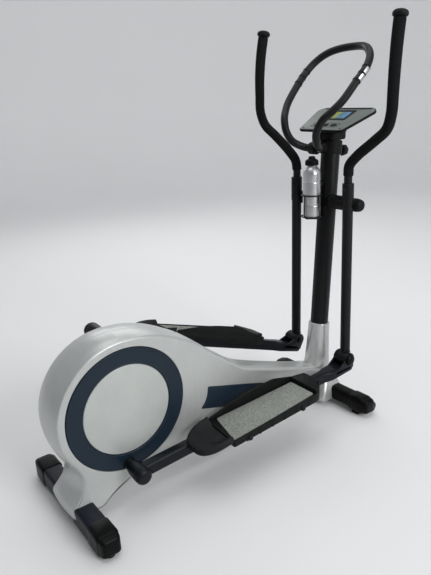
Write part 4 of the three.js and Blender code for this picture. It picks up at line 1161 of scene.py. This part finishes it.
def seven_segments(digit, x, y, tall):
    """Segments of a numeral that reads along -Y, its top towards +X."""
    wide, t, g = tall * 0.52, tall * 0.1, tall * 0.02
    lit = {0: "abcdef", 1: "bc", 2: "abged", 3: "abgcd", 5: "afgcd", 8: "abcdefg"}[digit]
    spans = {"a": (0, wide, tall, tall), "g": (0, wide, tall / 2, tall / 2), "d": (0, wide, 0, 0),
             "f": (0, 0, tall / 2, tall), "b": (wide, wide, tall / 2, tall),
             "e": (0, 0, 0, tall / 2), "c": (wide, wide, 0, tall / 2)}
    shapes = []
    for key in lit:
        u0, u1, v0, v1 = spans[key]
        flat = v0 == v1
        u0, u1 = (u0 + g + t / 2, u1 - g - t / 2) if flat else (u0 - t / 2, u1 + t / 2)
        v0, v1 = (v0 - t / 2, v1 + t / 2) if flat else (v0 + g + t / 2, v1 - g - t / 2)
        shapes.append(block(x + v0, x + v1, y - u1, y - u0, -0.85, -0.6, t * 0.3, 0.05))
    return joined(*shapes)


def console_parts():
    shell = slab(console_outline(0), -13.5, -0.5, 2.5, edge_low=5)
    console_piece("console_shell", shell, "black_plastic", "console_case")
    plate = slab(console_outline(1.5), -3, 0.0, 0.8)
    console_piece("console_plate", plate, "console", ())
    window = rectangle(84, 170, -63, 63, 7)
    glass = rectangle(97, 155, -49, 49, 4)
    console_piece("screen_frame", band(window, glass, -2, 1.1), "black_plastic", ())
    console_piece("screen_glass", slab(rectangle(96, 156, -50, 50, 4), -4, 0.35, 0.2),
                  "screen", "console_screen")
    digits = [seven_segments(d, 122, y, 24) for d, y in ((1, 42), (2, 27), (3, 5), (0, -10))]
    colon = [block(x, x + 2.6, 12.6, 15.2, -0.85, -0.6, 0.8, 0.05) for x in (128, 138)]
    bars = [block(100, 103 + 2.0 * (k % 5), 42 - 6.6 * k, 45.2 - 6.6 * k, -0.85, -0.6, 0.5, 0.05)
            for k in range(13)]
    dots = [turned([[0, 0.9], [4, 0.7], [5, 0], [5, -2]], (14, y, 0), "z", 24, 0.3) for y in (-98, 98)]
    lip = block(180, 191, -122, 122, -2, 1.0, 4, 0.6)
    console_piece("console_trim", joined(*dots, lip), "black_plastic", ())
    ink = moved(joined(*digits, *colon, *bars), lambda p: Vector((p[0], p[1], p[2] + 1.3)))
    console_piece("screen_ink", ink, "ink", ())
    trim = band(rectangle(24, 58, -70, 70, 9), rectangle(25.4, 56.6, -68.6, 68.6, 8), -1, 0.7, 0.2)
    console_piece("button_trim", trim, "black_plastic", ())
    for name, y in (("mode", 44), ("set", 0), ("reset", -44)):
        key = slab(rectangle(31, 49, y - 15, y + 15, 7.5, 6), -6, 2.4, 1.4)
        piece(f"key_{name}", moved(key, on_console), "black_plastic", f"button_{name}",
              f"console_button_{name}")


console_parts()


def neck_shape():
    rows = [(1160, 44, 44), (1168, 45.5, 46), (1184, 44, 46), (1200, 42, 54), (1213, 40, 60)]
    rings = []
    for z, dx, dy in rows:
        x = mast_x(z)
        ring = rectangle(x - dx, x + dx, -dy, dy, 22, 6)
        rings.append([Vector((p.x, p.y, z if z < 1210 else
                              min(1260, CONSOLE_Z - 13 + (p.x - CONSOLE_X) * math.tan(TILT)))) for p in ring])
    return skin(rings)


piece("neck", neck_shape(), "black_plastic", "chassis", "console_neck")


# ---- fixed handlebar ----------------------------------------------------------------------
LOOP_HALF = [
    (CLAMP_X, 4, CLAMP_Z), (CLAMP_X, 15, CLAMP_Z), (CLAMP_X - 1, 26, CLAMP_Z),
    (CLAMP_X - 18, 44, CLAMP_Z + 6), (922, 66, 1164), (905, 82, 1202), (914, 102, 1246),
    (941, 125, 1277), (978, 144, 1314), (1044, 153, 1382), (1094, 154, 1428), (1134, 137, 1467),
    (1164, 104, 1494), (1190, 60, 1508),
]


def half_sleeve(points, out):
    """Thin plate round the outer half of a bar; it dips under the bar's surface on the other half."""
    rings = []
    for i, p in enumerate(points):
        along = (points[min(i + 1, len(points) - 1)] - points[max(i - 1, 0)]).normalized()
        side = (Vector(out) - along * along.dot(Vector(out))).normalized()
        up = along.cross(side)
        end = 0.9 if i in (0, len(points) - 1) else 0
        rings.append([p + (side * math.cos(a) + up * math.sin(a))
                      * (14.2 + (2.6 - end) * smooth(0.25, 0.35, math.cos(a)))
                      for a in angles(48)])
    return skin(rings)


LOOP = path_points([*LOOP_HALF, (1202, 0, 1512), *[(x, -y, z) for x, y, z in LOOP_HALF[::-1]]], 260)
piece("loop_bar", swept(LOOP, 15), "black_steel", "loop", "loop_handlebar")
for side, (start, end) in {"right": (0.668, 0.714), "left": (0.286, 0.332)}.items():
    middle = (start + end) / 2
    out = (0.35, -1 if side == "right" else 1, -0.6)
    lower = half_sleeve(part_of(LOOP, start, middle - 0.002, 14), out)
    upper = half_sleeve(part_of(LOOP, middle + 0.002, end, 14), out)
    piece(f"pulse_plates_{side}", joined(lower, upper), "pulse", "loop", f"pulse_grip_{side}")
    spacer = swept(part_of(LOOP, middle - 0.0025, middle + 0.0025, 4), 16.2, 32)
    collars = [swept(part_of(LOOP, a, b, 6), 16.8, 32, 1) for a, b in
               ((start - 0.004, start), (end, end + 0.004))]
    piece(f"pulse_trim_{side}", joined(spacer, *collars), "black_plastic", "loop", ())


def clamp_shape():
    z = CLAMP_Z
    stem = slab(rectangle(CLAMP_X, 1060, z - 18, z + 18, 4), -18, 18, 3, "xz")
    hub = turned([[15, -17], [22.5, -17], [24, -15.5], [24, 15.5], [22.5, 17], [15, 17]],
                 (CLAMP_X, 0, z), radius=1)
    collar = moved(turned([[38.7, z - 30], [44, z - 30], [45.5, z - 28], [45.5, z + 20], [44, z + 22],
                           [38.7, z + 22]], (0, 0, 0), "z", radius=1), on_mast(z))
    bolts = [turned([[0, -21], [5, -20.6], [6.5, -18.5], [6.5, -16]], (x, 0, z), sides=24, radius=0.8)
             for x in (1004, 1028)]
    return joined(stem, hub, collar, *bolts, *[mirrored(b) for b in bolts])


piece("clamp", clamp_shape(), "black_plastic", "chassis", "loop_clamp")


def knob_shape():
    start, z = mast_x(CLAMP_Z - 24) + MAST_RADIUS + 7.9, CLAMP_Z - 24
    body = turned([[0, 0], [9, 0], [9, 13], [19, 17], [21.5, 22], [21.5, 37], [19, 42], [11, 45], [0, 46]],
                  (0, 0, 0), "z", radius=2)
    lobes = [turned([[0, 17], [4, 19], [4.5, 23], [4.5, 35], [3.5, 40], [0, 42]], (x, y, 0), "z", 20, 1.5)
             for x, y in around(0, 0, 19, 7)]
    return moved(joined(body, *lobes), lambda p: Vector((start + p[2], p[1], z - p[0])))


piece("knob_star", knob_shape(), "black_plastic", "knob", "clamp_knob")


# ---- bottle -------------------------------------------------------------------------------
piece("bottle_body", turned([
    [0, 858], [29, 856], [33, 857.5], [36, 862], [36, 905], [35, 907], [35, 909], [36, 911], [36, 1000],
    [35, 1002], [35, 1004], [36, 1006], [36, 1034], [34.5, 1044], [30, 1053], [24, 1060], [19.5, 1066],
    [19.2, 1082], [0, 1082],
], (BOTTLE_X, 0, 0), "z", radius=1.6), "bottle", "chassis", "bottle")


def bottle_cap():
    cap = turned([[20, 1068.3], [25, 1068.3], [26, 1070], [26, 1084], [24.5, 1089], [17, 1093], [14, 1095],
                  [13.5, 1100], [11, 1103.5], [0, 1104]], (BOTTLE_X, 0, 0), "z", radius=1)
    ridge = block(25.2, 26.9, -0.9, 0.9, 1070, 1084, 0.5, 0.3)
    ridges = [moved(ridge, lambda p, a=a: Vector((BOTTLE_X + p[0] * math.cos(a) - p[1] * math.sin(a),
                                                  p[0] * math.sin(a) + p[1] * math.cos(a), p[2])))
              for a in angles(30)]
    return joined(cap, *ridges)


piece("screw_cap", bottle_cap(), "black_plastic", "cap", "bottle_cap")


def cage_shape():
    x0, r = BOTTLE_X, BOTTLE_RADIUS + 4.8
    loops = [swept([Vector((x, y, z)) for x, y in around(x0, 0, r, 64)], 2.8, 12, closed=True)
             for z in (948, 860)]
    back = block(x0 + 38.5, x0 + 44.5, -11, 11, 844, 1010, 2, 1)
    sides = [swept(path_points([(x0 + 3 * s, s * r, 948), (x0 + 1 * s, s * (r + 0.5), 900), (x0, s * r, 862),
                                (x0, s * 26, 852), (x0, 0, 851)], 40), 2.6, 12) for s in (-1, 1)]
    front = swept(path_points([(x0 - r, 0, 948), (x0 - r, 0, 900), (x0 - r, 0, 862), (x0 - 26, 0, 852),
                               (x0, 0, 851), (x0 + 40, 0, 851)], 50), 2.6, 12)
    tray = turned([[0, 850.2], [22, 850.2], [24, 852], [24, 855], [22, 855.7], [0, 855.7]],
                  (x0, 0, 0), "z", radius=0.8)
    standoffs = [block(x0 + 41, mast_x(z) - 33, -9, 9, z - 9, z + 9, 2, 1) for z in (985, 885)]
    return joined(*loops, back, *sides, front, tray, *standoffs)


piece("wire_cage", cage_shape(), "black_steel", "chassis", "bottle_cage")


# ---- finishes of the CAD pieces that stay as they are -------------------------------------
KEPT = {
    "base_frame": "black_steel", "magnet_brake": "black_steel", "crank_axle": "steel",
    "drive_pulley": "dark_grey", "flywheel": "iron",
}
for name, material in KEPT.items():
    mesh = frame["nodes"][name].data
    mesh.materials.clear()
    mesh.materials.append(MATERIAL[material])


# ---- floor, light -------------------------------------------------------------------------
def make_floor():
    rings = []
    rows = [(0.4, 0), (2.5, 0), (6.0, 0), (6.6, 0.05), (7.2, 0.25), (7.7, 0.65), (8.0, 1.3), (8.1, 6.5)]
    for r, z in rows:
        rings.append([Vector((x, y, z)) for x, y in around(0, 0, r, 96)])
    points, faces = skin(rings, caps=False)
    faces.append(list(range(96))[::-1])
    mesh = bpy.data.meshes.new("floor")
    mesh.from_pydata([tuple(p) for p in points], [], faces)
    mesh.polygons.foreach_set("use_smooth", [True] * len(mesh.polygons))
    mesh.materials.append(floor_finish())
    floor = bpy.data.objects.new("floor", mesh)
    scene.collection.objects.link(floor)


def make_light(name, place, target, size, power, color=(1, 1, 1)):
    data = bpy.data.lights.new(name, "AREA")
    data.shape = "RECTANGLE"
    data.size, data.size_y = size
    data.energy = power
    data.color = color
    lamp = bpy.data.objects.new(name, data)
    lamp.location = place
    lamp.rotation_mode = "QUATERNION"
    lamp.rotation_quaternion = (Vector(target) - Vector(place)).to_track_quat("-Z", "Y")
    scene.collection.objects.link(lamp)


make_floor()
make_light("key", (0.9, -5.6, 3.2), (0, 0, 0.6), (2.8, 2.8), 225)
make_light("fill", (3.0, -2.6, 2.2), (0.2, 0, 0.7), (2.0, 2.0), 6)
make_light("top", (0.2, -0.2, 4.8), (0, 0, 0), (4.6, 4.6), 96)
make_light("back", (1.5, 3.6, 2.6), (0, 0, 0.8), (2.6, 1.8), 22)
make_light("wall", (1.4, 2.2, 5.2), (3.8, 5.4, 0.8), (3.0, 3.0), 48)
world = bpy.data.worlds.new("world")
world.use_nodes = True
world.node_tree.nodes["Background"].inputs["Color"].default_value = (0.93, 0.95, 1.0, 1)
world.node_tree.nodes["Background"].inputs["Strength"].default_value = 0.30
scene.world = world
scene.view_settings.view_transform = "Standard"
